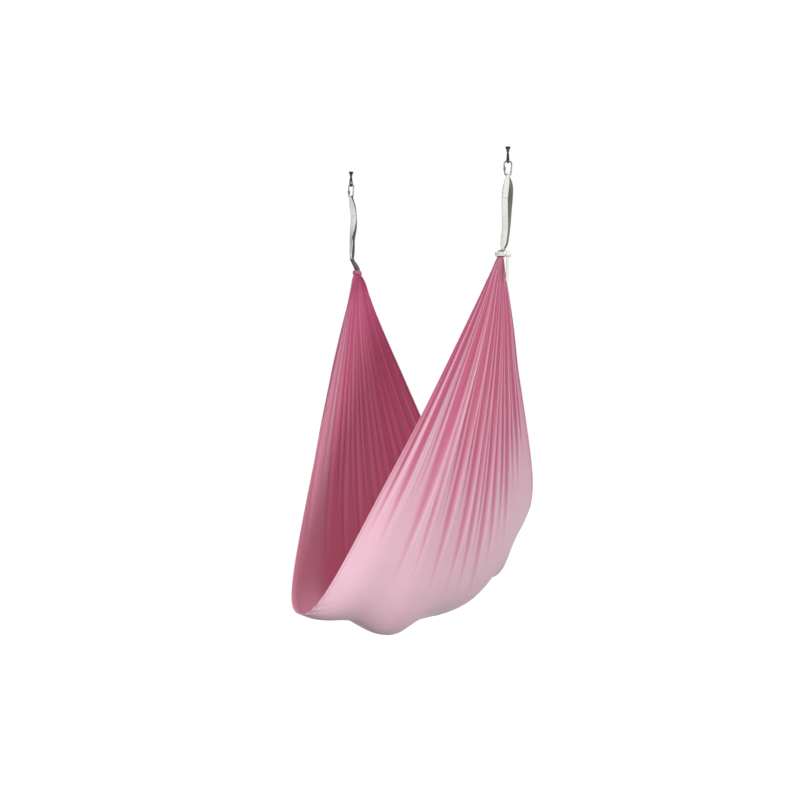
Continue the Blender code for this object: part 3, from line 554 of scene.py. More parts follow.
def bottom_lift(side, down, across):
    """The lift of both halves, blended into each other near the bottom line."""
    rightness = smooth_step(SIDES[side] * (1 - down), *MIDDLE_BLEND)
    lift = rightness * smooth_table(BOTTOM_LIFT["right"], across)[0]
    lift += (1 - rightness) * smooth_table(BOTTOM_LIFT["left"], across)[0]
    return lift * smooth_step(down, *LIFT_START)


def bunched_cloth(side, down, across, height):
    """How far cloth that is bunched under the neck stands out, for points at this height."""
    below = (-NECK_TOP_DROP[side] - NECK_LENGTH - height) / SHOULDER_DROP[side]
    at_head, at_foot = SHOULDERS[side]
    shares = at_foot * smooth_step(across, 0.45, 1.0) - at_head * (1 - smooth_step(across, 0.0, 0.55))
    bunched = below * np.exp(1 - below) * shares
    if side == "right":
        pull, middle, near, wide = HEM_PULL
        pulled = np.exp(-((down - middle) / near) ** 2) * (1 - smooth_step(across, 0, wide))
        bunched += pull * pulled
    return bunched


# %% Points and colour values of the whole sheet
DOWN_POWER = 1.6
HALF_STEP = 0.0008
# Stretch: what it lacks at the neck, from where to where it grows as shares down, and by what power
STRETCH_LACK = 0.86
STRETCH_RANGE = (0.02, 0.62)
STRETCH_POWER = 1.6
# How much the folds' tension, with its painted highlight and shade, adds to the stretch value
TAUT_AND_SHADING_WEIGHT = 0.55
# Paleness of the inner face: by stretch, by tension with the folds' painted highlight and shade, by
# painted light in a strip by the head hem and by painted shade towards the foot hem
INNER_PALE_AND_SHADING = (0.24, 0.24, 0.28, -0.10)


def half_sheet(side, down, across):
    """Points, normals, stretch with the folds' painted highlight and shade, and inner paleness with
    painted light and shade, of one half of the sheet.
    """
    base = pocket_surface(side, down, across)
    low, high = np.clip(down - HALF_STEP, 0, 1), np.clip(down + HALF_STEP, 0, 1)
    first, last = np.clip(across - HALF_STEP, 0, 1), np.clip(across + HALF_STEP, 0, 1)
    downward = pocket_surface(side, high, across) - pocket_surface(side, low, across)
    sideways = pocket_surface(side, down, last) - pocket_surface(side, down, first)
    normal = unit(np.cross(downward, sideways) * SIDES[side])
    hems_apart = (pocket_surface(side, down, np.ones_like(across))
                  - pocket_surface(side, down, np.zeros_like(across)))
    height, taut_and_shading = fold_height(side, down, across, np.linalg.norm(hems_apart, axis=1))
    lift = bottom_lift(side, down, across)
    bunched = bunched_cloth(side, down, across, base[:, 2])
    points = base + normal * height[:, None] + np.stack([0 * lift, bunched, lift], -1)
    start, end = STRETCH_RANGE
    slack = 1 - np.clip((down - start) / (end - start), 0, 1)
    stretch = 1 - STRETCH_LACK * slack ** STRETCH_POWER
    # Painted light: beside the head hem the inner face is painted paler where the light from outside
    # falls on it
    lit_strip = (1 - smooth_step(across, 0.24, 0.32)) * smooth_step(down, 0.01, 0.07)
    # Towards the foot hem the inner face is painted darker, painted shade
    parts = (stretch, taut_and_shading, lit_strip, smooth_step(across, 0.45, 0.85))
    pale_and_shading = sum(share * part for share, part in zip(INNER_PALE_AND_SHADING, parts))
    return points, normal, np.clip(stretch + TAUT_AND_SHADING_WEIGHT * taut_and_shading, 0, 1), np.clip(pale_and_shading, 0, 1)


def sheet_points(across, along):
    """The same for the sheet's inner face, at shares across and along the whole sheet."""
    right = along <= 0.5
    down = np.where(right, 2 * along, 2 * (1 - along)) ** DOWN_POWER
    whole = [np.zeros((len(across), *parts)) for parts in ((3,), (3,), (), ())]
    for side, chosen in (("right", right), ("left", ~right)):
        for values, half in zip(whole, half_sheet(side, down[chosen], across[chosen])):
            values[chosen] = half
    return whole


# %% Move a flat grid onto the surface
ACROSS_STEPS = 340
DOWN_STEPS = 70

cloth, across_share, along_share = add_grid("hammock_cloth_sheet", ACROSS_STEPS, 2 * DOWN_STEPS)
cloth_points, _, cloth_stretch_and_shading, cloth_pale_and_shading = sheet_points(across_share, along_share)
place_points(cloth, cloth_points)
# The stretch value carries the folds' painted highlights and painted shade as well as stretch
store(cloth, "stretch", cloth_stretch_and_shading)
store(cloth, "inner_pale_and_shading", cloth_pale_and_shading)
set_uv(cloth, across_share * CUT_WIDTH, along_share * CUT_LENGTH)
thicken(cloth, CLOTH_THICKNESS, use_even_offset=False)
smooth_shade(cloth)
print("sheet:", len(cloth.data.vertices), "points,", len(cloth.data.polygons), "faces")

# %% [markdown]
# ### Knitted nylon
# The fabric is a smooth warp knit: slightly shiny, with fine wales along its length. Unstretched it is
# a deep pink. Stretched, the yarns part and it turns pale. The inner face is given deeper pinks,
# painted shade for the inside of the pocket, where what light reaches it has already passed off other
# pink cloth.

# %% Material of the sheet
GATHERED_PINK = srgb(187, 90, 123)
STRETCHED_PINK = srgb(242, 199, 215)
# Painted shade: the inner face's deeper pinks stand in for the shade inside the pocket
SHADED_INSIDE_GATHERED_PINK = srgb(178, 74, 114)
SHADED_INSIDE_PINK = srgb(218, 80, 132)
DYE_UNEVENNESS = 0.05
# Turn of the ridges in radians for a metre across and along
WALE_TURN = 3200.0
COURSE_TURN = 2600.0

NYLON, tree, shader = new_material("pink_nylon_knit", roughness=0.52)
place = add_node(tree, "ShaderNodeUVMap").outputs[0]
loose = use_group(tree, fibre, {"Vector": place, "Scale": 700.0})
amount, within, pale_and_shading = (point_value(tree, name) for name in ("stretch", "inside", "inner_pale_and_shading"))
# Stretch makes the cloth paler; the same value carries the folds' painted highlight and shade
outer = mix_colour(tree, amount, GATHERED_PINK, STRETCHED_PINK)
inner = mix_colour(tree, amount, SHADED_INSIDE_GATHERED_PINK, SHADED_INSIDE_PINK)
# Inner paleness: stretch and tension, with painted light by the head hem and painted shade towards the
# foot hem
inner = mix_colour(tree, pale_and_shading, inner, STRETCHED_PINK)
colour = mix_colour(tree, within, outer, inner)
dye = spread(tree, loose["Dye"], 0.3, 0.7, 0.0, DYE_UNEVENNESS)
colour = mix_colour(tree, dye, colour, GATHERED_PINK)
feed(tree, shader, {"Base Color": colour, "Sheen Weight": 0.25, "Sheen Roughness": 0.4,
                    "Specular IOR Level": 0.35})
# Fine wales of the knit run along the sheet, and its courses cross them
axes = add_node(tree, "ShaderNodeSeparateXYZ", {0: place}).outputs
wales = ridges(tree, maths(tree, "MULTIPLY", axes[0], WALE_TURN))
courses = ridges(tree, maths(tree, "MULTIPLY", axes[1], COURSE_TURN))
wales = maths(tree, "MULTIPLY", wales, 0.7)
knit = maths(tree, "ADD", wales, maths(tree, "MULTIPLY", courses, 0.3))
knit = maths(tree, "ADD", knit, maths(tree, "MULTIPLY", loose["Height"], 0.5))
set_bump(tree, shader, knit, distance=0.00012, strength=0.35)
finish_piece(cloth, NYLON, "pink_cloth", "hammock_cloth")

# %% [markdown]
# ### Hems and their stitches
# The long edges are folded over once and sewn with a chain of short stitches. Each hem is a strip that
# follows the sheet's own points down one face, round the edge and up the other, a little way off it.
# One stitch is modelled from a small sphere, and then repeated along the seam.

# %% Hem strips
HEM_COLUMNS = 4
HEM_OFFSET = 0.0008
HEM_THICKNESS = 0.0005
HEM_FIRST_ROW = 5
# A doubled edge stretches less than the cloth beside it, so it stays a little deeper in colour
HEM_LESS_STRETCH = 0.10
HEM_LESS_PALE = 0.05


def hem_grid(edge, columns):
    """The sheet's points, true normals and colour values in its own rows, at columns from one edge."""
    rows = np.arange(HEM_FIRST_ROW, 2 * DOWN_STEPS - HEM_FIRST_ROW + 1) / (2 * DOWN_STEPS)
    across = np.abs(edge - np.asarray(columns) / ACROSS_STEPS)
    values = sheet_points(np.tile(across, len(rows)), np.repeat(rows, len(across)))
    shape = (len(rows), len(across))
    points, smooth_normals, stretch, pale_and_shading = (part.reshape(*shape, *part.shape[1:]) for part in values)
    # Folds have tilted the cloth, so its true normals come from the points themselves
    normals = unit(np.cross(np.gradient(points, axis=0), np.gradient(points, axis=1)))
    normals *= np.sign(np.sum(normals * smooth_normals, -1))[..., None]
    return rows, across, points, normals, stretch, pale_and_shading


def add_hem(name, edge):
    rows, across, points, normals, stretch, pale_and_shading = hem_grid(edge, range(HEM_COLUMNS + 1))
    out = unit(points[:, 0] - points[:, 1])
    # Each layer has its column, the direction it is set off in and 1 where it lies on the inner face
    layers = [(column, normals[:, column], 0) for column in range(HEM_COLUMNS, -1, -1)]
    for angle in (45, 90, 135):
        turn = math.radians(angle)
        layers.append((0, normals[:, 0] * math.cos(turn) + out * math.sin(turn), int(angle > 90)))
    layers += [(column, -normals[:, column], 1) for column in range(HEM_COLUMNS + 1)]
    places = np.stack([points[:, column] + way * HEM_OFFSET for column, way, _ in layers], 1)
    item, share, way = add_grid(name, len(layers) - 1, len(rows) - 1)
    layer = np.rint(share * (len(layers) - 1)).astype(int)
    row = np.rint(way * (len(rows) - 1)).astype(int)
    column = np.array([column for column, _, _ in layers])[layer]
    within = np.array([within for _, _, within in layers], float)[layer]
    place_points(item, places[row, layer])
    set_uv(item, across[column] * CUT_WIDTH, rows[row] * CUT_LENGTH)
    apply_modifier(item, "SOLIDIFY", thickness=HEM_THICKNESS, offset=0.0)
    store(item, "stretch", np.tile(np.clip(stretch[row, column] - HEM_LESS_STRETCH, 0, 1), 2))
    store(item, "inner_pale_and_shading", np.tile(np.clip(pale_and_shading[row, column] - HEM_LESS_PALE, 0, 1), 2))
    store(item, "inside", np.tile(within, 2))
    smooth_shade(item, 50)
    finish_piece(item, NYLON, "pink_cloth")
    return item


hems = [add_hem("hem_head", 0.0), add_hem("hem_foot", 1.0)]
print("hems:", [len(hem.data.polygons) for hem in hems], "faces")

# %% One stitch, and lines of many
STITCH_PITCH = 0.0045
STITCH_LENGTH = 0.0036
STITCH_WIDTH = 0.0008
STITCH_HEIGHT = 0.0005
LOOK_AHEAD = 0.001

deselect()
bpy.ops.mesh.primitive_uv_sphere_add(segments=6, ring_count=4, radius=0.5, location=(0, 0, 0))
bpy.ops.object.mode_set(mode="EDIT")
bpy.ops.mesh.select_all(action="SELECT")
bpy.ops.transform.rotate(value=math.radians(90), orient_axis="Y", center_override=(0, 0, 0))
bpy.ops.transform.resize(value=(STITCH_LENGTH, STITCH_WIDTH, STITCH_HEIGHT))
bpy.ops.object.mode_set(mode="OBJECT")
one_stitch = bpy.context.object
stitch_points = np.array([corner.co for corner in one_stitch.data.vertices])
stitch_faces = sorted(tuple(face.vertices) for face in one_stitch.data.polygons)
bpy.data.objects.remove(one_stitch)
print("stitch:", len(stitch_points), "points,", len(stitch_faces), "faces")


def travelled(points):
    """How far along its line each point lies, in metres."""
    return np.concatenate([[0], np.cumsum(np.linalg.norm(np.diff(points, axis=0), axis=1))])


def read_along(at, distance, vectors):
    """Vectors that are known at some distances, read at others."""
    return np.stack([np.interp(at, distance, vectors[:, axis]) for axis in range(3)], -1)


def square_to(vectors, directions):
    """The part of each vector that is square to its direction, at length 1."""
    return unit(vectors - directions * np.sum(vectors * directions, axis=1)[:, None])


def add_stitches(name, lines, normals, pitch, material, slot):
    """Stitches laid along lines of points, each turned to its line and to the surface below it."""
    places, faces = [], []
    for points, ups in zip(lines, normals):
        distance = travelled(points)
        middles = np.arange(pitch / 2, distance[-1], pitch)
        centres = read_along(middles, distance, points)
        ahead = read_along(middles + LOOK_AHEAD, distance, points)
        back = read_along(middles - LOOK_AHEAD, distance, points)
        forward = unit(ahead - back)
        up = square_to(read_along(middles, distance, ups), forward)
        turns = np.stack([forward, np.cross(up, forward), up], 1)
        for centre, turn in zip(centres, turns):
            start = len(places) * len(stitch_points)
            places.append(centre + stitch_points @ turn)
            faces += [tuple(start + corner for corner in face) for face in stitch_faces]
    mesh = bpy.data.meshes.new(name)
    mesh.from_pydata(np.concatenate(places).tolist(), [], faces)
    item = add_object(name, mesh)
    smooth_shade(item)
    finish_piece(item, material, slot)
    print(name, len(places), "stitches")
    return item


# %% Thread, and the seams of both hems
SEAM_COLUMNS = (2, 3, 4)


def thread_finish(name, light, dark, roughness):
    material, tree, shader = new_material(name, roughness)
    place = add_node(tree, "ShaderNodeTexCoord").outputs["Object"]
    loose = use_group(tree, fibre, {"Vector": place, "Scale": 3000.0})
    feed(tree, shader, {"Base Color": mix_colour(tree, loose["Dye"], light, dark)})
    set_bump(tree, shader, loose["Height"], distance=0.0001, strength=0.6)
    return material


PINK_THREAD = thread_finish("pink_thread", srgb(198, 104, 140), srgb(172, 78, 114), roughness=0.5)
WHITE_THREAD = thread_finish("white_thread", srgb(226, 225, 220), srgb(204, 203, 196), roughness=0.55)

for name, edge in (("head", 0.0), ("foot", 1.0)):
    _, _, points, normals, _, _ = hem_grid(edge, SEAM_COLUMNS)
    up = normals[:, 1]
    seam = points[:, 1] + up * (HEM_OFFSET + HEM_THICKNESS / 2 + STITCH_HEIGHT / 4)
    stitches = add_stitches(f"seam_{name}", [seam], [up], STITCH_PITCH, PINK_THREAD, "pink_cloth")

# %% [markdown]
# ## Webbing and tape
# A webbing loop hangs from each carabiner and carries the cloth by a tape loop that is sewn into the
# neck. Flat bands keep their width where they hang free and fold lengthwise where they go round a bar.
# Each band starts as a flat grid primitive. Its rows are moved onto stations along the route, and
# Solidify and Bevel then give it its thickness and its rounded edges.

# %% Helpers for a woven band
BAND_CUP = 0.0004
SPARE_RISE = 0.24
BEVEL_SHARE = 0.3


def level(degrees):
    """A level direction, by its turn from the hang line."""
    turn = math.radians(degrees)
    return Vector((math.cos(turn), math.sin(turn), 0))


def half_turn(centre, way, other_way, radius, start, steps):
    """Points on half a circle, from a start angle in degrees, in the plane of two directions."""
    spots = []
    for step in range(steps + 1):
        angle = math.radians(start + 180 * step / steps)
        spots.append(centre + (way * math.cos(angle) + other_way * math.sin(angle)) * radius)
    return spots


def round_edges(item, thickness):
    apply_modifier(item, "BEVEL", width=BEVEL_SHARE * thickness, segments=2, limit_method="ANGLE",
                   angle_limit=math.radians(70))
    smooth_shade(item, 60)


def woven_band(name, stations, thickness, full_width, closed=False, columns=12, cup=BAND_CUP):
    """A band along stations: centre, direction across and width. Spare width goes into folds."""
    if closed:
        stations = stations + stations[:1]
    centres, across, width = (np.array(part) for part in zip(*stations))
    along = np.gradient(centres, axis=0)
    if closed:
        along[0] = along[-1] = centres[1] - centres[-2]
    along = unit(along)
    across = square_to(across, along)
    outward = np.cross(along, across)
    item, share, way = add_grid(name, columns, len(stations) - 1)
    row = np.rint(way * (len(stations) - 1)).astype(int)
    spare = np.maximum(full_width - width, 0)[row]
    rise = cup * (1 - (2 * share - 1) ** 2)
    rise += SPARE_RISE * spare * (1 - np.cos(4 * math.pi * share)) / 2
    sideways = (share - 0.5) * width[row]
    place_points(item, centres[row] + across[row] * sideways[:, None] + outward[row] * rise[:, None])
    set_uv(item, share * full_width, travelled(centres)[row])
    close_seam(item)
    thicken(item, thickness)
    round_edges(item, thickness)
    return item


# %% [markdown]
# ### Webbing and tape materials
# The webbing is white polyester. Its back is painted grey, painted shade for the shaded rear leg, and
# its edges are painted darker, painted shade for the shade along them. The tape that shows on the left
# is a narrow band with lengthwise ribs, painted grey-brown as painted shade for the shade it hangs in.
# Both use the weave group at their own pitch, in the band's own coordinates.

# %% Materials of the bands
WEBBING_WIDTH = 0.020
TAPE_WIDTH = 0.014
# How strongly the band's edges are painted darker, painted shade
PAINTED_EDGE_SHADE = 0.85
GAP_SHADE = 0.30
DYE_SHADE = 0.16


def band_finish(name, face, back, dark_tone_and_edge_shade, full_width, warp, weft, edge_width):
    material, tree, shader = new_material(name, roughness=0.78)
    place = add_node(tree, "ShaderNodeUVMap").outputs[0]
    yarns = use_group(tree, weave, {"Vector": place, "Warp pitch": warp, "Weft pitch": weft})
    loose = use_group(tree, fibre, {"Vector": place, "Scale": 2200.0})
    axes = add_node(tree, "ShaderNodeSeparateXYZ", {0: place}).outputs
    half = full_width / 2
    from_middle = maths(tree, "ABSOLUTE", maths(tree, "SUBTRACT", axes[0], half))
    edge = spread(tree, from_middle, half - edge_width * 1.3, half - edge_width * 0.6)
    # Painted shade: each band's back gets a darker colour, which stands in for the shade on the far
    # side of a loop
    colour = mix_colour(tree, point_value(tree, "inside"), face, back)
    # Painted shade along both edges, then darker gaps between the yarns and uneven dye
    for mask in (
        maths(tree, "MULTIPLY", edge, PAINTED_EDGE_SHADE),
        maths(tree, "MULTIPLY", yarns["Gap"], GAP_SHADE),
        spread(tree, loose["Dye"], 0.35, 0.75, 0.0, DYE_SHADE),
    ):
        colour = mix_colour(tree, mask, colour, dark_tone_and_edge_shade)
    feed(tree, shader, {"Base Color": colour, "Sheen Weight": 0.15, "Specular IOR Level": 0.3})
    height = maths(tree, "ADD", yarns["Height"], maths(tree, "MULTIPLY", loose["Height"], 0.35))
    set_bump(tree, shader, height, distance=0.00022, strength=0.8)
    return material


WHITE_WEBBING = band_finish(
    "white_webbing", face=srgb(246, 246, 243), back=srgb(140, 140, 130), dark_tone_and_edge_shade=srgb(112, 112, 104),
    full_width=WEBBING_WIDTH, warp=0.0011, weft=0.0015, edge_width=0.0012,
)
WHITE_TAPE = band_finish(
    "white_tape", face=srgb(236, 236, 232), back=srgb(200, 200, 194), dark_tone_and_edge_shade=srgb(140, 138, 132),
    full_width=TAPE_WIDTH, warp=0.0009, weft=0.0012, edge_width=0.0009,
)
# Painted shade: the left tape's grey-brown face and darker back stand in for the shade it hangs in
SHADED_GREY_TAPE = band_finish(
    "grey_tape", face=srgb(140, 124, 122), back=srgb(104, 92, 90), dark_tone_and_edge_shade=srgb(66, 60, 58),
    full_width=TAPE_WIDTH, warp=0.0013, weft=0.0010, edge_width=0.0010,
)

# %% Route of each webbing loop
HANG_SPACING = 0.620
CARABINER_BAR_Z = -0.09035
WEBBING_THICKNESS = 0.0020
WEBBING_BUNCHED_WIDTH = 0.009
STRAP_HEAD_RADIUS = 0.0038
STRAP_FOOT_RADIUS = 0.006
STRAP_FOOT = {"right": Vector((0.2905, 0.0080, -0.3220)), "left": Vector((-0.3065, 0.0, -0.3025))}
UP = Vector((0, 0, 1))

# Share of the way down; sideways shift of the front and rear leg and their distance from the middle, as
# shares of the width; width as a share of the webbing's; turn of the front and rear leg in degrees
STRAP_SHARES = {
    "right": (
        (0.00, 0.00, 0.00, 0.19, 0.45, 32.5, 32.5),
        (0.14, -0.12, 0.40, 0.25, 0.95, 36.0, 5.0),
        (0.30, -0.18, 0.56, 0.32, 1.00, 40.0, -18.0),
        (0.48, -0.08, 0.44, 0.30, 1.00, 30.0, 0.0),
        (0.72, 0.08, 0.38, 0.26, 1.00, 24.0, 24.0),
        (0.90, 0.02, 0.20, 0.28, 1.00, 18.0, 20.0),
        (0.97, 0.00, 0.06, 0.30, 0.82, 6.0, 8.0),
        (1.00, 0.00, 0.00, 0.30, 0.45, 0.0, 0.0),
    ),
    "left": (
        (0.00, 0.00, 0.00, 0.19, 0.45, -10.0, -10.0),
        (0.16, 0.32, 0.28, 0.22, 0.95, 14.0, 10.0),
        (0.34, 0.48, 0.44, 0.25, 1.00, 26.0, 22.0),
        (0.52, 0.46, 0.42, 0.27, 1.00, 4.0, 2.0),
        (0.74, 0.28, 0.26, 0.28, 0.90, -32.0, -32.0),
        (0.90, 0.10, 0.10, 0.29, 0.65, -18.0, -18.0),
        (1.00, 0.00, 0.00, 0.30, 0.45, 0.0, 0.0),
    ),
}
LEG_STEPS = 84
BIGHT_STEPS = 14


def bight(centre, radius, turn, start):
    """Where the webbing goes round a bar, bunched to less than its width."""
    spots = half_turn(centre, level(turn + 90), UP, radius, start, BIGHT_STEPS)
    return [(spot, level(turn), WEBBING_BUNCHED_WIDTH) for spot in spots]


def strap_stations(side):
    """The loop's two bights and two legs, in one closed round."""
    rows = STRAP_SHARES[side]
    head = Vector((SIDES[side] * HANG_SPACING / 2, 0, CARABINER_BAR_Z))
    foot = STRAP_FOOT[side]
    values = smooth_table(rows, np.arange(1, LEG_STEPS) / LEG_STEPS).T
    legs = {-1: [], 1: []}
    for i, (front_shift, rear_shift, distance, width, front_turn, rear_turn) in enumerate(values, 1):
        middle = head.lerp(foot, i / LEG_STEPS)
        mean = (front_turn + rear_turn) / 2
        for face, shift, turn in ((-1, front_shift, front_turn), (1, rear_shift, rear_turn)):
            aside = level(mean + 90) * distance * face + level(mean) * shift
            legs[face].append((middle + aside * WEBBING_WIDTH, level(turn), width * WEBBING_WIDTH))
    stations = bight(head, STRAP_HEAD_RADIUS, rows[0][5], 0) + legs[-1]
    return stations + bight(foot, STRAP_FOOT_RADIUS, rows[-1][5], 180) + legs[1][::-1]


for side in SIDES:
    loop = woven_band(f"webbing_{side}", strap_stations(side), WEBBING_THICKNESS, WEBBING_WIDTH,
                      closed=True)
    finish_piece(loop, WHITE_WEBBING, "white_webbing", f"webbing_loop_{side}")
    print(loop.name, len(loop.data.polygons), "faces")

# %% [markdown]
# ### Sewn lap of each webbing loop
# A webbing loop is closed by laying one end over the other and sewing a box with a cross in it. The lap
# is a second layer on the front leg, and its seams are the same modelled stitch in white thread.

# %% Lap and box stitches
LAP_SHARES = (0.09, 0.33)
LAP_THICKNESS = 0.0017
LAP_LIFT = 0.0020
LAP_PITCH = 0.0036
LAP_LINE_POINTS = 30
# Ends of each line of stitches, as shares of the lap across from its middle and down from its top
LAP_LINES = (
    ((-0.39, 0.05), (-0.39, 0.95)), ((0.39, 0.05), (0.39, 0.95)), ((-0.36, 0.06), (0.36, 0.06)),
    ((-0.36, 0.94), (0.36, 0.94)), ((-0.36, 0.30), (0.36, 0.30)), ((-0.36, 0.70), (0.36, 0.70)),
    ((-0.34, 0.32), (0.34, 0.68)), ((0.34, 0.32), (-0.34, 0.68)),
)


def lap_stitches(name, places):
    centres, acrosses, widths = (np.array(part) for part in zip(*places))
    outwards = np.cross([0.0, 0.0, -1.0], acrosses)
    spots = np.arange(len(places))
    lines, ups = [], []
    for start, end in LAP_LINES:
        aside, down = np.linspace(start, end, LAP_LINE_POINTS).T
        at = down * (len(places) - 1)
        sideways = aside * np.interp(at, spots, widths)
        lift = LAP_THICKNESS / 2 + STITCH_HEIGHT / 4 + BAND_CUP * (1 - 4 * aside * aside)
        line = read_along(at, spots, centres) + read_along(at, spots, acrosses) * sideways[:, None]
        ups.append(read_along(at, spots, outwards))
        lines.append(line + ups[-1] * lift[:, None])
    add_stitches(name, lines, ups, LAP_PITCH, WHITE_THREAD, "white_webbing")


for side in SIDES:
    leg = strap_stations(side)[BIGHT_STEPS + 1:BIGHT_STEPS + LEG_STEPS]
    first, last = (int(share * LEG_STEPS) for share in LAP_SHARES)
    places = [(centre - UP.cross(across) * LAP_LIFT, across, width)
              for centre, across, width in leg[first:last]]
    lap = woven_band(f"lap_{side}", places, LAP_THICKNESS, WEBBING_WIDTH)
    finish_piece(lap, WHITE_WEBBING, "white_webbing")
    lap_stitches(f"box_stitches_{side}", places)

# %% [markdown]
# ### Tape loops
# Each tape runs through the lower bight of its webbing and has both ends in the neck. It is narrower
# where it is squeezed in the bight and turns on its way down.

# %% Tape loops into the necks
TAPE_THICKNESS = 0.0015
TAPE_BUNCHED_WIDTH = 0.007
TAPE_LOOP_RADIUS = 0.0065
TAPE_TWIST = {"right": 0.0, "left": -48.0}
TAPE_LEG_STEPS = 18
TAPE_TURN_STEPS = 24
TAPE_FOOT_STEPS = 4
BINDING_HEIGHT = 0.0120
CLEARANCE = 0.0003


def tape_leg(side, face, centre):
    """One leg of the tape, on one face of the neck, from the bight down through the binding."""
    leg_reach = NECK_DEPTH + CLOTH_THICKNESS / 2 + CLEARANCE + TAPE_THICKNESS / 2
    neck_x = SIDES[side] * NECK_SPACING / 2
    middle = Vector((neck_x, 0, -NECK_TOP_DROP[side] + 2 * TAPE_THICKNESS))
    leg = []
    for i in range(1, TAPE_LEG_STEPS + 1):
        share = i / TAPE_LEG_STEPS
        width = TAPE_BUNCHED_WIDTH + (TAPE_WIDTH - TAPE_BUNCHED_WIDTH) * min(1, 2 * share)
        apart = TAPE_LOOP_RADIUS + (leg_reach - TAPE_LOOP_RADIUS) * share
        turn = TAPE_TWIST[side] * math.sin(math.pi * share)
        spot = centre.lerp(middle, 0.35 * share + 0.65 * share * share * (3 - 2 * share))
        spot.z = centre.z + (middle.z - centre.z) * share
        leg.append((spot + level(turn) * face * apart, level(turn + 90), width))
    foot = -NECK_TOP_DROP[side] - BINDING_HEIGHT
    for i in range(1, TAPE_FOOT_STEPS + 1):
        z = middle.z + (foot - middle.z) * i / TAPE_FOOT_STEPS
        leg.append((Vector((neck_x + face * leg_reach, 0, z)), level(90), TAPE_WIDTH))
    return leg


def tape_stations(side):
    """The tape's turn in the webbing's lower bight, with a leg before and after it."""
    held = STRAP_FOOT[side]
    inner = STRAP_FOOT_RADIUS - WEBBING_THICKNESS / 2
    seat = held.z - math.sqrt(inner ** 2 - (TAPE_BUNCHED_WIDTH / 2) ** 2) + CLEARANCE
    loop_inner = TAPE_LOOP_RADIUS - TAPE_THICKNESS / 2
    rise = math.sqrt(loop_inner ** 2 - (WEBBING_BUNCHED_WIDTH / 2) ** 2)
    centre = Vector((held.x, held.y, seat - rise + CLEARANCE))
    turn = half_turn(centre, level(0), UP, TAPE_LOOP_RADIUS, 0, TAPE_TURN_STEPS)
    bunched = [(spot, level(90), TAPE_BUNCHED_WIDTH) for spot in turn]
    return tape_leg(side, 1, centre)[::-1] + bunched + tape_leg(side, -1, centre)


TAPES = (("right", WHITE_TAPE, "white_webbing"), ("left", SHADED_GREY_TAPE, "grey_tape"))
for side, material, slot in TAPES:
    tape = woven_band(f"tape_{side}", tape_stations(side), TAPE_THICKNESS, TAPE_WIDTH, columns=8,
                      cup=0.0)
    finish_piece(tape, material, slot, f"tape_loop_{side}")
    print(tape.name, len(tape.data.polygons), "faces")

# %% [markdown]
# ### Bindings, hitch, knot and loose end
# The neck of the cloth is bound with a strip of the same fabric, which takes the pleats of what it
# holds. On the right, two turns of webbing go over the binding. A knot stands out from them at the
# back, and the loose end of the webbing hangs straight down through it, folded in half.

# %% Helper for a ring round a neck
OVAL_POWER = 4.0
# Length of the way round such an oval, as a share of its two half sizes together
ROUND_SHARE = 3.2


def oval_reach(angle):
    """How much further than a circle a rounded rectangle reaches, at each angle."""
    powers = np.abs(np.cos(angle)) ** OVAL_POWER + np.abs(np.sin(angle)) ** OVAL_POWER
    return powers ** (-1 / OVAL_POWER)


def neck_ring(name, middle, half_sizes, height, thickness, shape, turns=176, rows=14):
    """A band round a neck. Shape gives how far it stands out and is lifted, by shares round and up."""
    item, share, rise = add_grid(name, turns, rows)
    angle = 2 * math.pi * share
    reach = oval_reach(angle)
    out, lift = shape(share, rise)
    x = (half_sizes[0] + out) * np.cos(angle) * reach
    y = (half_sizes[1] + out) * np.sin(angle) * reach
    up = (rise - 0.5) * height
    place_points(item, np.stack([x, y, up + lift], -1) + np.array(middle))
    set_uv(item, up + WEBBING_WIDTH / 2, share * ROUND_SHARE * sum(half_sizes))
    close_seam(item, turn_outwards=True)
    apply_modifier(item, "SOLIDIFY", thickness=thickness, offset=1.0)
    round_edges(item, thickness)
    return item


# %% Bindings of the two necks
BINDING_HALF_SIZES = (0.0071, 0.0167)
BINDING_THICKNESS = 0.0009
BINDING_PLEATS = 23
BINDING_BULGE = 0.0006
PLEAT_HEIGHT = 0.00035
# How far the foot of each binding flares and hangs down, in metres
BINDING_FLARE = {"right": (0.0006, 0.0), "left": (0.0014, 0.0015)}

for side, sign in SIDES.items():
    def pleated(share, rise, flare=BINDING_FLARE[side]):
        low = (1 - rise) ** 2
        bulge = BINDING_BULGE * np.sin(math.pi * rise) + flare[0] * low
        shifted = 2.0 * rise + 1.2 * np.sin(4 * math.pi * share)
        pleat = 1 + np.sin(2 * math.pi * BINDING_PLEATS * share + shifted)
        droop = flare[1] * low * (0.8 + 0.2 * np.sin(2 * math.pi * 7 * share + 1.0))
        lift = 0.0004 * np.sin(10 * math.pi * share) - droop
        return bulge + (PLEAT_HEIGHT + 0.12 * flare[0] * low) * pleat, lift

    middle = (sign * NECK_SPACING / 2, 0, -NECK_TOP_DROP[side] - BINDING_HEIGHT / 2)
    binding = neck_ring(f"binding_{side}", middle, BINDING_HALF_SIZES, BINDING_HEIGHT,
                        BINDING_THICKNESS, pleated)
    store(binding, "stretch", 0.04)
    store(binding, "inner_pale_and_shading", 0.1)
    finish_piece(binding, NYLON, "pink_cloth", f"neck_binding_{side}")

# %% Hitch: two crossing turns of webbing, folded to half their width
HITCH_HALF_SIZES = (0.0098, 0.0194)
HITCH_THICKNESS = 0.0013
HITCH_TURN_HEIGHT = 0.0062
HITCH_MIDDLE = (NECK_SPACING / 2, 0.0, -0.3450)
# Offset up, slant and distance further out of each turn, in metres
HITCH_TURNS = ((-0.0016, 0.0016, 0.0), (0.0018, -0.0018, 0.0014))

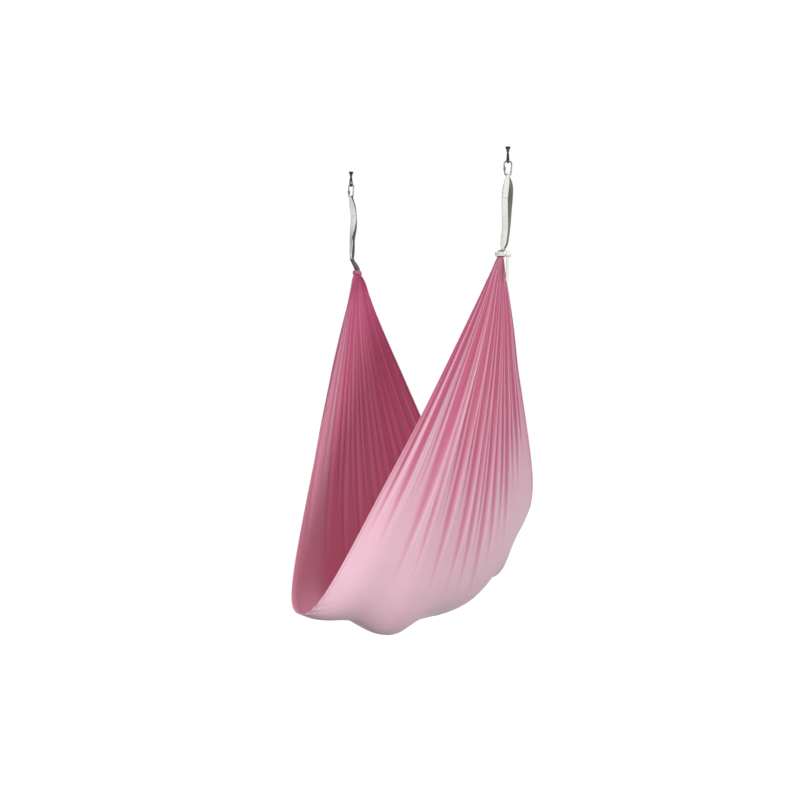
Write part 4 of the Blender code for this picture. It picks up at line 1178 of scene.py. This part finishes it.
for number, (offset, slant, outside) in enumerate(HITCH_TURNS):
    def crossing(share, rise, offset=offset, slant=slant, outside=outside):
        fold = 0.0004 * np.sin(math.pi * rise) + 0.00022 * np.sin(2 * math.pi * 4 * rise)
        wrinkle = 0.00018 * np.sin(2 * math.pi * (7 * share + rise))
        return outside + fold + wrinkle, offset + slant * np.sin(2 * math.pi * share)

    ring = neck_ring(f"hitch_turn_{number}", HITCH_MIDDLE, HITCH_HALF_SIZES, HITCH_TURN_HEIGHT,
                     HITCH_THICKNESS, crossing, turns=96, rows=12)
    store(ring, "inside", 0.0)
    finish_piece(ring, WHITE_WEBBING, "white_webbing", "hitch_band_right")

# %% Knot of the hitch
KNOT_TURN = 35.0
KNOT_NEAREST = 0.02039
KNOT_RUN = 0.0114
KNOT_RADIUS = 0.0023
KNOT_HEIGHT = 0.0095
KNOT_TURN_STEPS = 10


def knot_spot(share):
    """The middle of the knot, at this share of its length from the hitch outwards."""
    return Vector(HITCH_MIDDLE) + level(KNOT_TURN) * (KNOT_NEAREST + KNOT_RUN * share)


outwards, aside = level(KNOT_TURN), level(KNOT_TURN + 90)
spots = half_turn(knot_spot(1.0), outwards, aside, KNOT_RADIUS, -90, KNOT_TURN_STEPS)
spots += half_turn(knot_spot(0.0), outwards, aside, KNOT_RADIUS, 90, KNOT_TURN_STEPS)
stations = [(spot, UP, KNOT_HEIGHT) for spot in spots]
knot = woven_band("hitch_knot", stations, WEBBING_THICKNESS, KNOT_HEIGHT, closed=True, columns=10,
                  cup=0.0003)
finish_piece(knot, WHITE_WEBBING, "white_webbing", "hitch_knot_right")

# %% Loose end of the right-hand webbing
TAIL_LENGTH = 0.098
TAIL_TOP_RISE = 0.006
TAIL_WIDTH = 0.010
TAIL_PLACE_SHARE = 0.4
TAIL_DRIFT = -0.004
TAIL_STEPS = 40

tail_top = -NECK_TOP_DROP["right"] + TAIL_TOP_RISE
stations = []
for i in range(TAIL_STEPS + 1):
    share = i / TAIL_STEPS
    spot = knot_spot(TAIL_PLACE_SHARE) + level(KNOT_TURN) * TAIL_DRIFT * share ** 2
    spot.z = tail_top - TAIL_LENGTH * share
    stations.append((spot, level(KNOT_TURN), TAIL_WIDTH))
tail = woven_band("webbing_end", stations, WEBBING_THICKNESS, TAIL_WIDTH, columns=10, cup=0.0002)
finish_piece(tail, WHITE_WEBBING, "white_webbing", "webbing_tail_right")
print("loose end:", round(stations[0][0].z - stations[-1][0].z, 3), "m")

# %% [markdown]
# ## Rounded metal
# The frame's metal pieces have flat facets. Each is copied, its double points are merged and its round
# faces are shaded smooth, while the edges of slots, ribs and rims stay sharp. The copies keep every
# point's place, so the gates and sleeves move as before.

# %% Copies of the metal pieces with smooth faces
MERGE_DISTANCE = 0.000005
# Start of the name; body that carries it, the material, its slot and the largest angle shaded smooth
METAL_PIECES = (
    ("ceiling_collar", "ceiling_anchors", BLACK_STEEL, "black_steel", 40),
    ("eye", "ceiling_anchors", BLACK_STEEL, "black_steel", 50),
    ("carabiner", "sling", CARABINER_STEEL, "carabiner_steel", 50),
    ("gate_rivet", "sling", CARABINER_STEEL, "carabiner_steel", 35),
    ("gate", "gate", CARABINER_STEEL, "carabiner_steel", 35),
    ("lock_sleeve", "sleeve", CARABINER_STEEL, "carabiner_steel", 20),
)


def smooth_copy(node_name, angle):
    work = bmesh.new()
    work.from_mesh(nodes[node_name].data)
    work.transform(nodes[node_name].matrix_world)
    bmesh.ops.remove_doubles(work, verts=work.verts, dist=MERGE_DISTANCE)
    bmesh.ops.recalc_face_normals(work, faces=work.faces)
    merged = bpy.data.meshes.new(f"{node_name}_smooth")
    work.to_mesh(merged)
    work.free()
    if "custom_normal" in merged.attributes:
        merged.attributes.remove(merged.attributes["custom_normal"])
    item = add_object(merged.name, merged)
    smooth_shade(item, angle)
    return item


for start, body, material, slot, angle in METAL_PIECES:
    for side in ("left", "right"):
        node_name = f"{start}_{side}"
        own_body = f"{body}_{side}" if body in ("gate", "sleeve") else body
        copy = smooth_copy(node_name, angle)
        finish_piece(copy, material, slot, node_name, body=own_body)
        print(copy.name, "points:", len(copy.data.vertices))

# %% [markdown]
# ## Light and floor
# The object hangs in an even white studio. A large lamp on the right is the main light, a weaker one
# near the camera fills the shadows and a third one lights the back. The floor and the background are
# white only to the camera and in reflections, so they don't wash out the object.

# %% Lamps
MIDDLE = (0.0, 0.0, -1.0)


def add_lamp(name, place, size, power):
    """A round lamp of this size in metres, turned to the middle of the object."""
    data = bpy.data.lights.new(name, "AREA")
    data.shape = "DISK"
    data.size = size
    data.energy = power
    lamp = add_object(name, data)
    lamp.location = place
    lamp.rotation_euler = (Vector(MIDDLE) - Vector(place)).to_track_quat("-Z", "Y").to_euler()


add_lamp("key", (4.0, -1.2, 0.2), size=1.3, power=74.0)
add_lamp("fill", (1.6, -3.8, 0.1), size=2.6, power=42.0)
add_lamp("back", (-3.4, 2.6, 0.2), size=2.6, power=70.0)

# %% Floor and background
WORLD_LIGHT = 0.60
FLOOR_GLOW = 0.89
FLOOR_SIZE = 60.0
FLOOR_Z = -2.30
WHITE = (1, 1, 1, 1)


def looked_at(tree):
    """1 where the camera, a gloss or glass looks, and 0 for the light that reaches the object."""
    ray = add_node(tree, "ShaderNodeLightPath").outputs
    mirrored = maths(tree, "MAXIMUM", ray["Is Glossy Ray"], ray["Is Transmission Ray"])
    return maths(tree, "MAXIMUM", ray["Is Camera Ray"], mirrored)


world = bpy.data.worlds.new("studio")
bpy.context.scene.world = world
world.use_nodes = True
tree = world.node_tree
names = {"Value": looked_at(tree), "To Min": WORLD_LIGHT, "To Max": 1.0}
strength = add_node(tree, "ShaderNodeMapRange", names).outputs[0]
feed(tree, tree.nodes["Background"], {"Strength": strength, "Color": WHITE})

deselect()
bpy.ops.mesh.primitive_plane_add(size=FLOOR_SIZE, location=(0, 0, FLOOR_Z))
floor = bpy.context.object
floor.name = "floor"
floor_material, tree, shader = new_material("pale_floor", roughness=0.9)
glow = maths(tree, "MULTIPLY", looked_at(tree), FLOOR_GLOW)
feed(tree, shader, {"Base Color": srgb(112, 112, 112), "Emission Color": WHITE,
                    "Emission Strength": glow})
floor.data.materials.append(floor_material)
print("floor at", FLOOR_Z)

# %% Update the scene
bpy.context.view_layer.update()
